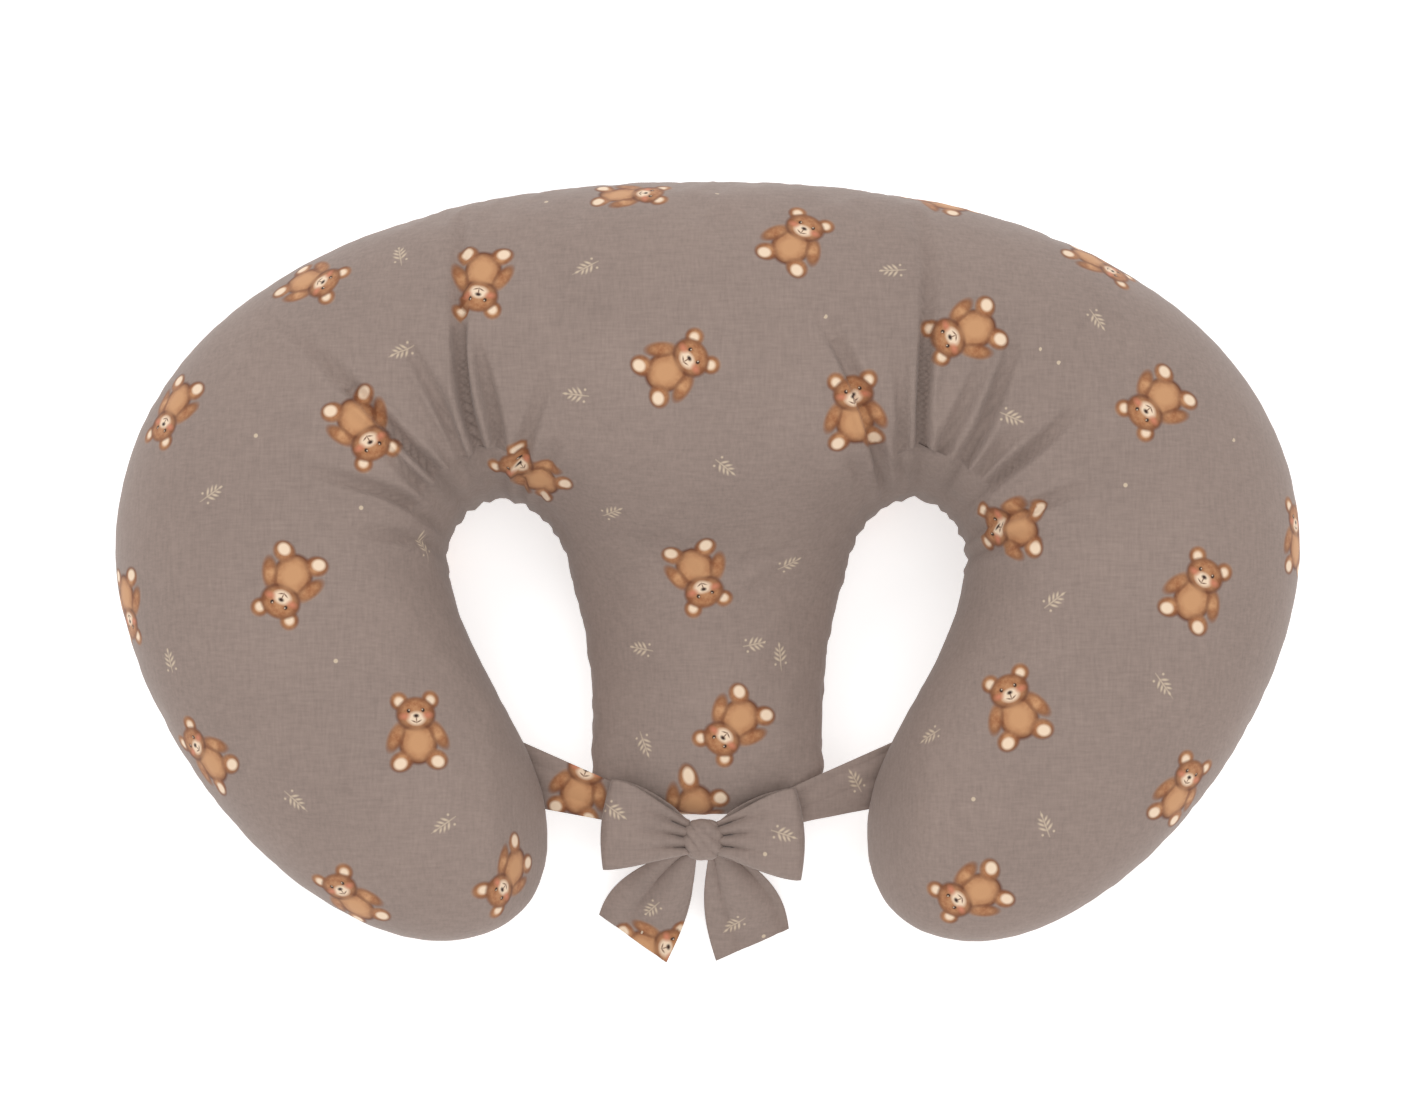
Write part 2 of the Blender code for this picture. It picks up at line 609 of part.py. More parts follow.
def build_zip(cushion, tape_finish, coil_finish, metal):
    """The zip's nine pieces. It prints the slider's travel and the pull's hinge."""
    frame = ZipFrame(cushion)
    radius = frame.origin[0]
    half = ZIP_LENGTH / 2 / radius
    stop_turn, gap_turn = STOP_LENGTH / radius, STOP_GAP / radius
    coil_top = COIL_SEAT_DEPTH - STOP_GAP / 2 - COIL_THICKNESS
    coil_end = half - stop_turn - gap_turn

    for side, word in ((1, "upper"), (-1, "lower")):
        tape_turn = half + ZIP_END_TAPE / radius
        back = COIL_SEAT_DEPTH + TAPE_THICKNESS
        section = [
            frame.centred(side * COIL_GAP, COIL_SEAT_DEPTH), frame.bend(side, COIL_SEAT_DEPTH, TAPE_DEPTH),
            frame.panel_side(side, TAPE_WIDTH, TAPE_DEPTH),
            frame.panel_side(side, TAPE_WIDTH, TAPE_DEPTH + TAPE_THICKNESS),
            frame.bend(side, back, TAPE_DEPTH + TAPE_THICKNESS), frame.centred(side * COIL_GAP, back),
        ]
        frame.sweep(f"zip_tape_{word}", section, -tape_turn, tape_turn, tape_finish)
        low, high = coil_top, coil_top + COIL_THICKNESS
        inner, outer = side * COIL_GAP, side * (COIL_GAP + COIL_WIDTH)
        chamfer = COIL_WIDTH / 4
        coil = [
            frame.centred(inner, low + chamfer), frame.centred(inner + side * chamfer, low),
            frame.centred(outer - side * chamfer, low), frame.centred(outer, low + chamfer),
            frame.centred(outer, high - chamfer), frame.centred(outer - side * chamfer, high),
            frame.centred(inner + side * chamfer, high), frame.centred(inner, high - chamfer),
        ]
        frame.sweep(f"zip_coil_{word}", coil, -coil_end, coil_end, coil_finish)
        stop = [frame.centred(a, d) for a, d in ((inner, low), (outer, low), (outer, high), (inner, high))]
        frame.sweep(f"zip_top_stop_{word}", stop, half - stop_turn, half, metal)
    width = COIL_GAP + COIL_WIDTH
    stop = [
        frame.centred(a, d)
        for a, d in (
            (-width, coil_top), (width, coil_top), (width, coil_top + COIL_THICKNESS),
            (-width, coil_top + COIL_THICKNESS),
        )
    ]
    frame.sweep("zip_bottom_stop", stop, -half, -half + stop_turn, metal)

    # The slider at its closed end. Its own heights are outward, so they are depths turned round.
    turn = SLIDER_LENGTH / 2 / radius
    rest = coil_end - gap_turn - turn
    plate = -coil_top + CLEARANCE
    under = -(COIL_SEAT_DEPTH + TAPE_THICKNESS + CLEARANCE)
    wide = width + CLEARANCE + SLIDER_FLANGE
    reach = SLIDER_LENGTH / 2
    flange_foot = -COIL_SEAT_DEPTH + CLEARANCE
    crown_foot = plate + SLIDER_PLATE
    eye = crown_foot + 2 * (math.hypot(PULL_THICKNESS, PULL_THICKNESS) / 2 + CLEARANCE)
    bite = SLIDER_PLATE / 3
    steps = [("", box_mesh((-reach, -wide, plate), (reach, wide, crown_foot)))]
    for side in (-1, 1):
        inner, outer = sorted((side * (wide - SLIDER_FLANGE), side * wide))
        steps.append(("UNION", box_mesh((-reach, inner, flange_foot), (reach, outer, plate + bite))))
        post = sorted((side * (CROWN_LENGTH / 2 - CROWN_BAR), side * CROWN_LENGTH / 2))
        steps.append((
            "UNION",
            box_mesh(
                (post[0], -CROWN_WIDTH / 2, crown_foot - bite), (post[1], CROWN_WIDTH / 2, eye + bite)
            ),
        ))
    steps += [
        ("UNION", box_mesh((-reach, -wide, under - SLIDER_PLATE), (reach, wide, under))),
        ("UNION", box_mesh(
            (-reach, -BLADE_THICKNESS / 2, under - bite),
            (-reach + BLADE_LENGTH, BLADE_THICKNESS / 2, plate + bite),
        )),
        ("UNION", box_mesh(
            (-CROWN_LENGTH / 2, -CROWN_WIDTH / 2, eye), (CROWN_LENGTH / 2, CROWN_WIDTH / 2, eye + CROWN_BAR)
        )),
    ]
    slider = carved("zip_slider", steps, metal, frame.matrix(rest, 0, 0))
    centre = Vector((0, BACK_EDGE_Y - BACK_RADIUS, slider.location.z))
    slider.data.transform(Matrix.Translation(-centre) @ slider.matrix_world)
    slider.matrix_world = Matrix.Translation(centre)

    # The pull, flat along the closed chain. Its crossbar sits under the crown.
    height = (crown_foot + eye) / 2
    half_thick, half_wide = PULL_THICKNESS / 2, PULL_WIDTH / 2
    slot = CROWN_WIDTH / 2 + CLEARANCE
    slot_end = math.hypot(CROWN_LENGTH / 2, eye + CROWN_BAR - height) + CLEARANCE
    tip = PULL_LENGTH - half_wide
    steps = [
        ("", box_mesh((-half_thick, -half_wide, -half_thick), (tip, half_wide, half_thick))),
        ("UNION", disc_mesh((tip, 0), half_wide, -half_thick, half_thick)),
        ("DIFFERENCE", box_mesh((half_thick, -slot, -2 * half_thick), (slot_end, slot, 2 * half_thick))),
        ("DIFFERENCE", disc_mesh((tip, 0), PULL_HOLE, -2 * half_thick, 2 * half_thick)),
    ]
    carved("zip_pull", steps, metal, frame.matrix(rest, 0, -height))
    travel = rest + coil_end - gap_turn - turn
    print("slider travel, degrees", round(math.degrees(travel), 3))
    pin = frame.matrix(rest, 0, -height)
    print("pull hinge", [round(c, 6) for c in pin.translation], [round(-c, 6) for c in pin.col[1][:3]])


# ------------------------------------------------------------------------------------------ small fabrics
def build_elastic(cushion, finish):
    """The elastic at the top of each leg hole, inside the cover just above the seam."""
    outline = np.arange(cushion.count)
    length = np.linalg.norm(cushion.points[cushion.seam] - cushion.points[outline], axis=1)
    share = 1 - SEAM_GAP / length - np.array([[ELASTIC_WIDTH], [0.0]]) / length - ELASTIC_LIFT_SHARE
    for side, word in ((-1, "left"), (1, "right")):
        chosen = outline[cushion.in_hole_top() & (cushion.points[outline, 0] * side > 0)]
        layers = []
        for depth in (ELASTIC_DEPTH, ELASTIC_DEPTH + ELASTIC_THICKNESS):
            rows = []
            for row in share[:, chosen]:
                mix = row[:, None]
                a, b = chosen, cushion.seam[chosen]
                point = cushion.points[a] * (1 - mix) + cushion.points[b] * mix
                normal = cushion.normals[a] * (1 - mix) + cushion.normals[b] * mix
                normal /= np.linalg.norm(normal, axis=1)[:, None]
                rows.append(point - normal * depth)
            layers.append(np.stack(rows, axis=1))
        slab(f"gather_elastic_{word}", layers[0], layers[1], finish)


def draped_height(height, x, y, reach=0.004):
    """The highest point of the tongue near a place, or 0 beside it."""
    nearby = [(x + dx, y + dy) for dx in (-reach, 0, reach) for dy in (-reach, 0, reach)]
    return max((height(*p) or 0.0) if abs(p[0]) < TONGUE_WIDTH / 2 else 0.0 for p in nearby)


def build_tie(cushion, finish):
    """Each band runs from its arm's inner seam over the tongue's lower corner to the knot."""
    height = cushion.top_height()
    seam = cushion.points[cushion.seam]
    arm = seam[(seam[:, 0] > ARM_GAP / 2) & (seam[:, 0] < LEG_HOLE_SIDE_X + OUTLINE_STEP) & (
        seam[:, 1] < TONGUE_WAIST_Y + 2 * OUTLINE_STEP
    ) & (seam[:, 1] > ARM_WAIST_Y - OUTLINE_STEP)]
    arm = arm[np.argsort(arm[:, 1])]
    knot = Vector(KNOT_CENTRE)
    for side, word in ((-1, "left"), (1, "right")):
        columns = []
        for share in np.linspace(0, 1, 6):
            y = TIE_SEWN_BACK_Y + (TIE_SEWN_FRONT_Y - TIE_SEWN_BACK_Y) * share
            sewn = Vector((
                side * (np.interp(y, arm[:, 1], arm[:, 0]) - TIE_SEAM_GAP), y, np.interp(y, arm[:, 1], arm[:, 2])
            ))
            corner = Vector((
                side * (TIE_CORNER_BACK[0] + (TIE_CORNER_FRONT[0] - TIE_CORNER_BACK[0]) * share),
                TIE_CORNER_BACK[1] + (TIE_CORNER_FRONT[1] - TIE_CORNER_BACK[1]) * share, 0.0,
            ))
            corner.z = max(draped_height(height, corner.x, corner.y), knot.z) + TIE_CLEARANCE
            end = Vector((
                knot.x + side * (KNOT_SIZE[0] / 2 + KNOT_GAP), knot.y + TIE_KNOT_WIDTH * (TIE_KNOT_BACK_SHARE - share),
                knot.z - TIE_KNOT_DROP,
            ))
            column = [sewn.lerp(corner, t) for t in np.linspace(0, 1, 6)]
            column += [corner.lerp(end, t) for t in np.linspace(0, 1, 8)[1:]]
            for point in column[1:-1]:
                over = draped_height(height, point.x, point.y)
                point.z = max(point.z, over + TIE_CLEARANCE + TIE_THICKNESS / 2 if over else 0.0)
            columns.append([tuple(p) for p in column])
        grid = np.array(columns).transpose(1, 0, 2)
        slab(f"tie_band_{word}", *thickened(grid, TIE_THICKNESS), finish)
    return height


def build_knot(finish):
    """A squarish barrel lying along Y."""
    middle, half = np.array(KNOT_CENTRE), np.array(KNOT_SIZE) / 2
    points = [middle - half * (0, 1, 0), middle + half * (0, 1, 0)]
    for ring in range(1, KNOT_RINGS):
        lift = math.pi * ring / KNOT_RINGS
        width = math.sin(lift) ** KNOT_SQUARENESS
        for turn in range(KNOT_SIDES):
            angle = 2 * math.pi * turn / KNOT_SIDES
            x, z = (math.copysign(abs(v) ** KNOT_SQUARENESS, v) for v in (math.cos(angle), math.sin(angle)))
            points.append(middle + half * (width * x, -math.cos(lift), width * z))
    faces = []
    last = 2 + (KNOT_RINGS - 2) * KNOT_SIDES
    for turn in range(KNOT_SIDES):
        after = (turn + 1) % KNOT_SIDES
        faces += [(0, 2 + turn, 2 + after), (1, last + after, last + turn)]
        for low in range(2, last, KNOT_SIDES):
            faces.append((low + turn, low + KNOT_SIDES + turn, low + KNOT_SIDES + after, low + after))
    add_object("bow_knot", points, faces, finish)


def build_loop(word, side, back, front, height, finish):
    """A bow loop: the ribbon goes out from the knot, folds over and comes back on top of itself."""
    knot, half = np.array(KNOT_CENTRE), np.array(KNOT_SIZE) / 2
    root = np.array([knot[0] + side * (half[0] + KNOT_GAP), knot[1], knot[2]])
    steps = np.linspace(0, 1, 7)
    opening = LOOP_ROOT_OPENING + LOOP_OPENING * np.sin(math.pi * steps * LOOP_FULLEST)
    fold = LOOP_OPENING * LOOP_FOLD_SHARE
    columns = []
    for share in np.linspace(0, 1, 7):
        outer = np.array(back) + (np.array(front) - back) * share
        start_y = knot[1] + LOOP_PINCH * (0.5 - share)
        lower = []
        for t in steps:
            x = root[0] + (outer[0] - side * fold - root[0]) * t
            y = start_y + (outer[1] - start_y) * smoothstep(t, LOOP_SPREAD_START, 1.0) * (
                LOOP_ROOT_SPREAD + (1 - LOOP_ROOT_SPREAD) * t
            )
            over = draped_height(height, x, y, LOOP_DRAPE_REACH)
            z = knot[2] + LOOP_RISE * t * (1 + LOOP_TILT * (0.5 - share))
            z = max(z, over + 3 * TIE_CLEARANCE + 2 * TIE_THICKNESS if over else 0.0)
            lower.append(np.array((x, y, z)))
        x, y, z = lower[-1]
        turned = [
            (x + side * fold * math.sin(turn), y, z + opening[-1] * (1 - math.cos(turn)) / 2)
            for turn in np.linspace(0, math.pi, 6)[1:-1]
        ]
        upper = [point + (0, 0, rise) for point, rise in zip(lower, opening)]
        columns.append([*lower, *turned, *reversed(upper)])
    grid = np.array(columns).transpose(1, 0, 2)
    slab(f"bow_loop_{word}", *thickened(grid, TIE_THICKNESS), finish, origin=tuple(root))
    print("loop", word, [round(float(c), 6) for c in root])


def build_tail(word, side, outer_end, inner_end, finish):
    """A bow tail: narrow at the knot, wider and cut slanting at its end, which rests on the ground."""
    knot, half = np.array(KNOT_CENTRE), np.array(KNOT_SIZE) / 2
    root = knot + (side * half[0] * TAIL_ROOT_SHARE, -half[1] - KNOT_GAP, -half[2] * TAIL_ROOT_SHARE)
    outer_end, inner_end = np.array(outer_end), np.array(inner_end)
    low = TAIL_REST + TIE_THICKNESS / 2
    columns = []
    for share in np.linspace(0, 1, 6):
        end = outer_end + (inner_end - outer_end) * share
        start = root[:2] + (side * TAIL_PINCH * (0.5 - share), 0.0)
        column = []
        for t in np.linspace(0, 1, 9):
            x = start[0] + (end[0] - start[0]) * t ** TAIL_FLARE
            y = start[1] + (end[1] - start[1]) * t
            bulge = TAIL_BULGE * math.sin(math.pi * t) * math.sin(math.pi * share)
            column.append((x, y, low + (root[2] - low) * (1 - t) ** TAIL_DROOP + bulge))
        columns.append(column)
    grid = np.array(columns).transpose(1, 0, 2)
    slab(f"bow_tail_{word}", *thickened(grid, TIE_THICKNESS), finish, origin=tuple(root))
    away = (outer_end + inner_end) / 2 - root[:2]
    away /= np.linalg.norm(away)
    print("tail", word, [round(float(c), 6) for c in root], [round(float(c), 5) for c in (away[1], -away[0])])


def build_bow(height, finish):
    build_knot(finish)
    build_loop("left", -1, LEFT_LOOP_BACK, LEFT_LOOP_FRONT, height, finish)
    build_loop("right", 1, RIGHT_LOOP_BACK, RIGHT_LOOP_FRONT, height, finish)
    build_tail("left", -1, LEFT_TAIL_OUTER, LEFT_TAIL_INNER, finish)
    build_tail("right", 1, RIGHT_TAIL_OUTER, RIGHT_TAIL_INNER, finish)


def build():
    for old in list(bpy.data.objects):
        bpy.data.objects.remove(old, do_unlink=True)
    cotton = material("printed_cotton", (0.319, 0.239, 0.205), 0.85)
    casing = material("white_polycotton", (0.80, 0.79, 0.76), 0.8)
    fibre = material("polyester_fibre", (0.86, 0.86, 0.84), 0.95)
    rubber = material("woven_elastic", (0.78, 0.76, 0.72), 0.8)
    tape = material("zip_tape_polyester", (0.26, 0.20, 0.175), 0.8)
    nylon = material("nylon_coil", (0.24, 0.19, 0.165), 0.35)
    enamel = material("enamelled_zinc", (0.27, 0.21, 0.185), 0.35, 0.6)

    cushion = Cushion()
    cushion.top_panel("cover_top_panel", 0.0, COVER_THICKNESS, cushion.zip_gap(), cotton)
    cushion.bottom_panel("cover_bottom_panel", 0.0, COVER_THICKNESS, cushion.zip_gap(), cotton)
    closed = np.full(cushion.count, SEAM_GAP)
    cushion.top_panel("casing_top_panel", CASING_DEPTH, CASING_THICKNESS, closed, casing)
    cushion.bottom_panel("casing_bottom_panel", CASING_DEPTH, CASING_THICKNESS, closed, casing)
    cushion.solid("fibre_fill", FILL_DEPTH, fibre)
    build_elastic(cushion, rubber)
    build_zip(cushion, tape, nylon, enamel)
    height = build_tie(cushion, cotton)
    build_bow(height, cotton)


build()
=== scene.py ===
# %% [markdown]
# # A nursing pillow with a bow
#
# The real pillow is a C-shaped cushion with a tongue between its arms. A baby's legs go through the two
# openings beside the tongue. The cover is printed cotton percale in two panels, the top one gathered at the
# tops of the leg openings, and a tie of the same cloth is knotted in a bow across the front.
#
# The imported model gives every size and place. This script makes the fine, soft surface that goes around it.

import json
import math

import bmesh
import bpy
import numpy as np
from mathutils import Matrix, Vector, noise
from mathutils.bvhtree import BVHTree
from mathutils.geometry import delaunay_2d_cdt

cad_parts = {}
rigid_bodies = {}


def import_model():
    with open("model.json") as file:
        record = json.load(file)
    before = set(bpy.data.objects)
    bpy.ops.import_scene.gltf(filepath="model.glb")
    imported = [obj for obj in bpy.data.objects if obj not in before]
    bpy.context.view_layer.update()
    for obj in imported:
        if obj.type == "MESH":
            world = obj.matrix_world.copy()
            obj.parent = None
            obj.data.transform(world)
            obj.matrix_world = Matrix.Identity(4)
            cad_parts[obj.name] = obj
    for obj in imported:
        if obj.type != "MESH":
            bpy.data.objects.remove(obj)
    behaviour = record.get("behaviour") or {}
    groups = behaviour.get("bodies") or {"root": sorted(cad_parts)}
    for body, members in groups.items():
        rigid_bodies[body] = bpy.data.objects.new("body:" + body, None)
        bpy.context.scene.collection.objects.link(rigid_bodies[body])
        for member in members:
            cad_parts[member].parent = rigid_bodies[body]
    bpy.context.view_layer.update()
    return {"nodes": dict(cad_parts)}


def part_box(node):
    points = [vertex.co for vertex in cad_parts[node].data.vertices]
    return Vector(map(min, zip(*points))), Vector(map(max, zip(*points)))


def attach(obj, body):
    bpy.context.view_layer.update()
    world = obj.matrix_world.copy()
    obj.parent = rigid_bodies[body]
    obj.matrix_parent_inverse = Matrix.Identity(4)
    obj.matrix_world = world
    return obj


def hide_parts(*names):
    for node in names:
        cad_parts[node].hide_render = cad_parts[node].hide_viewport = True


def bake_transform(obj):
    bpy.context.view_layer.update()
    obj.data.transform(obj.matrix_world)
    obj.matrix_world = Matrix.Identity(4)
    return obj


for startup in list(bpy.data.objects):
    bpy.data.objects.remove(startup)
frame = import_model()
scene = bpy.context.scene

# %% [markdown]
# ## Small helpers
#
# A CAD node arrives as loose triangles, so a copy of it is joined before anything is measured on it. All the
# shapes below are numpy arrays of points first, and become a mesh only at the end, which keeps them fast.


# %% Helpers for meshes
def read(items, attribute, width=1, kind=float):
    """One attribute of all of a mesh's points, faces or corners, as an array."""
    values = np.empty(len(items) * width, kind)
    items.foreach_get(attribute, values)
    return values.reshape(-1, width) if width > 1 else values


def joined(node):
    """The points and triangles of a CAD node, with its loose triangles joined."""
    mesh = frame["nodes"][node].data
    mesh.calc_loop_triangles()
    points = read(mesh.vertices, "co", 3)
    triangles = read(mesh.loop_triangles, "vertices", 3, int)
    _, first, index = np.unique(np.round(points, 6), axis=0, return_index=True, return_inverse=True)
    return points[first], index.reshape(-1)[triangles]


def make_object(name, points, faces):
    """A smooth-shaded mesh object at the origin."""
    mesh = bpy.data.meshes.new(name)
    mesh.from_pydata(np.asarray(points).tolist(), [], [tuple(int(i) for i in face) for face in faces])
    mesh.shade_smooth()
    obj = bpy.data.objects.new(name, mesh)
    scene.collection.objects.link(obj)
    return obj


def applied(obj):
    """The object with its modifiers made into plain mesh."""
    graph = bpy.context.evaluated_depsgraph_get()
    mesh = bpy.data.meshes.new_from_object(obj.evaluated_get(graph), depsgraph=graph)
    obj.modifiers.clear()
    obj.data = mesh
    return obj


def faced_outwards(obj):
    """The object with every face turned to look outwards."""
    mesh = bmesh.new()
    mesh.from_mesh(obj.data)
    bmesh.ops.recalc_face_normals(mesh, faces=mesh.faces)
    mesh.to_mesh(obj.data)
    mesh.free()
    return obj


# %% Helpers for arrays of points and triangles
def edges_of(faces):
    """Each triangle's three edges, in its own direction round."""
    return np.concatenate([faces[:, [0, 1]], faces[:, [1, 2]], faces[:, [2, 0]]])


def triangle_normals(points, faces):
    """Each triangle's normal, as long as twice its area."""
    corners = points[faces]
    return np.cross(corners[:, 1] - corners[:, 0], corners[:, 2] - corners[:, 0])


def point_normals(points, faces):
    """Unit normals at the points, weighted by the triangles' areas."""
    across = triangle_normals(points, faces)
    normals = np.zeros_like(points)
    for corner in range(3):
        for axis in range(3):
            normals[:, axis] += np.bincount(faces[:, corner], across[:, axis], len(points))
    return normals / np.maximum(np.linalg.norm(normals, axis=1), 1e-12)[:, None]


def smoothstep(value, low, high):
    """0 below the low end, 1 above the high end, and a soft rise between them."""
    share = np.clip((value - low) / (high - low), 0.0, 1.0)
    return share * share * (3.0 - 2.0 * share)


# %% [markdown]
# ## The outline
#
# Seen from above, the cushion's edge is its widest line. In the CAD panel that is where faces that look up meet
# faces that look down, so the line can be found with no list of numbers. It is a polygon with corners 10 to
# 20 mm apart. A Catmull-Rom spline through them gives a smooth line, with a point every few millimetres.

# %% Find the widest line and smooth it
EDGE_SPACING = 0.0029


def widest_line(node):
    """The longest closed line between faces that look up and faces that look down."""
    points, faces = joined(node)
    looks_up = triangle_normals(points, faces)[:, 2] > 0
    owner, step = {}, {}
    for face, up in zip(faces, looks_up):
        for a, b in zip(face, np.roll(face, -1)):
            owner[a, b] = up
    for (a, b), up in owner.items():
        if up and not owner[b, a]:
            step[a] = b
    loops = []
    while step:
        start, after = step.popitem()
        loop = [start]
        while after != start:
            loop.append(after)
            after = step.pop(after)
        loops.append(points[loop])
    return max(loops, key=lambda loop: np.linalg.norm(np.diff(loop, axis=0), axis=1).sum())


def smooth_loop(corners, spacing):
    """Evenly spaced points on a closed Catmull-Rom spline, with the first at the most +Y."""
    corners = np.roll(corners, -int(np.argmax(corners[:, 1] - np.abs(corners[:, 0]) / 10)), axis=0)
    before, after, last = (np.roll(corners, shift, axis=0) for shift in (1, -1, -2))
    share = np.linspace(0, 1, 16, endpoint=False)[:, None]
    runs = [
        p + 0.5 * share * (q - o + share * (2 * o - 5 * p + 4 * q - r + share * (3 * (p - q) + r - o)))
        for o, p, q, r in zip(before, corners, after, last)
    ]
    dense = np.concatenate([*runs, runs[0][:1]])
    along = np.concatenate([[0], np.cumsum(np.linalg.norm(np.diff(dense, axis=0), axis=1))])
    at = np.linspace(0, along[-1], round(along[-1] / spacing), endpoint=False)
    return np.stack([np.interp(at, along, dense[:, axis]) for axis in range(dense.shape[1])], axis=1)


outline = smooth_loop(widest_line("cover_top_panel")[:, :2], EDGE_SPACING)
edge_count = len(outline)
print(edge_count, "points round the edge,", round(edge_count * EDGE_SPACING, 3), "m")

# %% [markdown]
# ## The plan
#
# The surface is steep at the edge and flat in the middle. Rings that follow the edge, close together at first,
# keep the faces even where it is steep. Inside them goes a triangle lattice, finer where the gathers will be.
# One ring lies exactly on the seam, so that the cover can be cut into two panels there.

# %% Lay out the plan
SEAM_INSET = 0.0065
SEAM_RING = 7
RING_COUNT = 12
LATTICE = 0.0044
FINE_LATTICE = 0.0020
LEAST_GAP = 0.55 * EDGE_SPACING
FAN_CENTRE = np.array([0.1075, 0.016])
FAN_REACH, FAN_BACK = 0.100, 0.03


def outward(loop):
    """Unit vectors that point out of a closed loop, square to it."""
    along = np.roll(loop, -1, axis=0) - np.roll(loop, 1, axis=0)
    out = np.stack([along[:, 1], -along[:, 0]], axis=1)
    return out / np.linalg.norm(out, axis=1)[:, None]


def inside(points, loop):
    """Which points lie in a closed loop."""
    found = np.zeros(len(points), bool)
    for (ax, ay), (bx, by) in zip(loop, np.roll(loop, -1, axis=0)):
        crosses = (ay > points[:, 1]) != (by > points[:, 1])
        found ^= crosses & (points[:, 0] < ax + (points[:, 1] - ay) * (bx - ax) / (by - ay if by != ay else 1))
    return found


def distance_to(points, loop):
    """The distance from each point to the nearest point of a loop, and that point's number."""
    best, nearest = np.full(len(points), np.inf), np.zeros(len(points), int)
    for number, corner in enumerate(loop):
        away = ((points - corner) ** 2).sum(1)
        closer = away < best
        best[closer], nearest[closer] = away[closer], number
    return np.sqrt(best), nearest


def hex_lattice(spacing):
    """A lattice of even triangles over the whole plan."""
    low, high = outline.min(axis=0), outline.max(axis=0)
    across = np.arange(low[0], high[0], spacing)
    rows = np.arange(low[1], high[1], spacing * math.sqrt(3) / 2)
    return np.concatenate([
        np.stack([across + (number % 2) * spacing / 2, np.full(len(across), y)], axis=1)
        for number, y in enumerate(rows)
    ])


def in_fan(points):
    """Near a leg opening's top, where the cloth is gathered."""
    away = np.hypot(np.abs(points[:, 0]) - FAN_CENTRE[0], points[:, 1] - FAN_CENTRE[1])
    return (away < FAN_REACH) & (points[:, 1] > FAN_CENTRE[1] - FAN_BACK)


# %% Join the rings and the lattice into triangles
insets = SEAM_INSET * (np.arange(RING_COUNT) / SEAM_RING) ** 2
rings = [outline - outward(outline) * inset for inset in insets]
last_ring = rings[-1]
lattice = np.concatenate([
    points[in_fan(points) == fine]
    for points, fine in ((hex_lattice(LATTICE), False), (hex_lattice(FINE_LATTICE), True))
])
lattice = lattice[inside(lattice, last_ring)]
lattice = lattice[distance_to(lattice, last_ring)[0] > LEAST_GAP]
ring_edges = [(i, (i + 1) % edge_count) for i in range(edge_count)]
flat = [Vector(p) for p in np.concatenate([last_ring, lattice])]
cut = delaunay_2d_cdt(flat, ring_edges, [list(range(edge_count))], 1, 1e-7)
plan = np.concatenate([*rings[:-1], np.array([p[:] for p in cut[0]])])
start = edge_count * (RING_COUNT - 1)
ring_faces = []
for first in range(0, start, edge_count):
    here = first + np.arange(edge_count)
    after = first + (np.arange(edge_count) + 1) % edge_count
    ring_faces.append(np.stack([here, after, after + edge_count], 1))
    ring_faces.append(np.stack([here, after + edge_count, here + edge_count], 1))
plan_faces = np.concatenate([*ring_faces, start + np.array(cut[2])])
print(len(plan), "points and", len(plan_faces), "faces in the plan")

# %% [markdown]
# ## Filling the cushion
#
# A stuffed form with a flat plan crowns like a soap film blown up over it: high where the plan is wide, low
# where it is narrow, and steep at the edge. The film's height solves Poisson's equation. Its square root gives
# the round section of a well filled tube. The tongue holds less filling and sinks to the ground.

# %% Solve the film
def film(points, faces, held):
    """Poisson's equation with a source of 4 on the plan, by conjugate gradients; the first points are held at 0."""
    a, b, c = (points[faces[:, k]] for k in range(3))
    sides = (c - b, a - c, b - a)
    area = np.abs(sides[0][:, 0] * sides[1][:, 1] - sides[0][:, 1] * sides[1][:, 0]) / 2
    diagonal, load = np.zeros(len(points)), np.zeros(len(points))
    pairs = []
    for k in range(3):
        m = (k + 1) % 3
        pairs.append((faces[:, k], faces[:, m], (sides[k] * sides[m]).sum(1) / (4 * area)))
        diagonal += np.bincount(faces[:, k], (sides[k] ** 2).sum(1) / (4 * area), len(points))
        load += np.bincount(faces[:, k], 4 * area / 3, len(points))
    one, two, weight = (np.concatenate(parts) for parts in zip(*pairs))
    free = np.arange(len(points)) >= held

    def stiffness(x):
        y = diagonal * x + np.bincount(one, weight * x[two], len(x)) + np.bincount(two, weight * x[one], len(x))
        return np.where(free, y, 0.0)

    height = np.zeros(len(points))
    rest = np.where(free, load, 0.0)
    ready = rest / diagonal
    way, size = ready.copy(), rest @ ready
    for _ in range(800):
        pushed = stiffness(way)
        step = size / (way @ pushed)
        height += step * way
        rest -= step * pushed
        ready = rest / diagonal
        size, before = rest @ ready, size
        if size < 1e-16:
            break
        way = ready + way * size / before
    return height


# %% Raise the surface
MID_HEIGHT, LOFT, LOFT_WIDTH = 0.060, 0.072, 0.176
MOST_RISE, RISE_LIMIT_POWER = 1.12, 6
TONGUE_MID_HEIGHT, TONGUE_LOFT_SHARE = 0.030, 0.62
TONGUE_BLEND_X, TONGUE_BLEND_Y = (0.070, 0.112), (-0.0278, 0.0672)
GROUND_SOFTNESS = 0.003

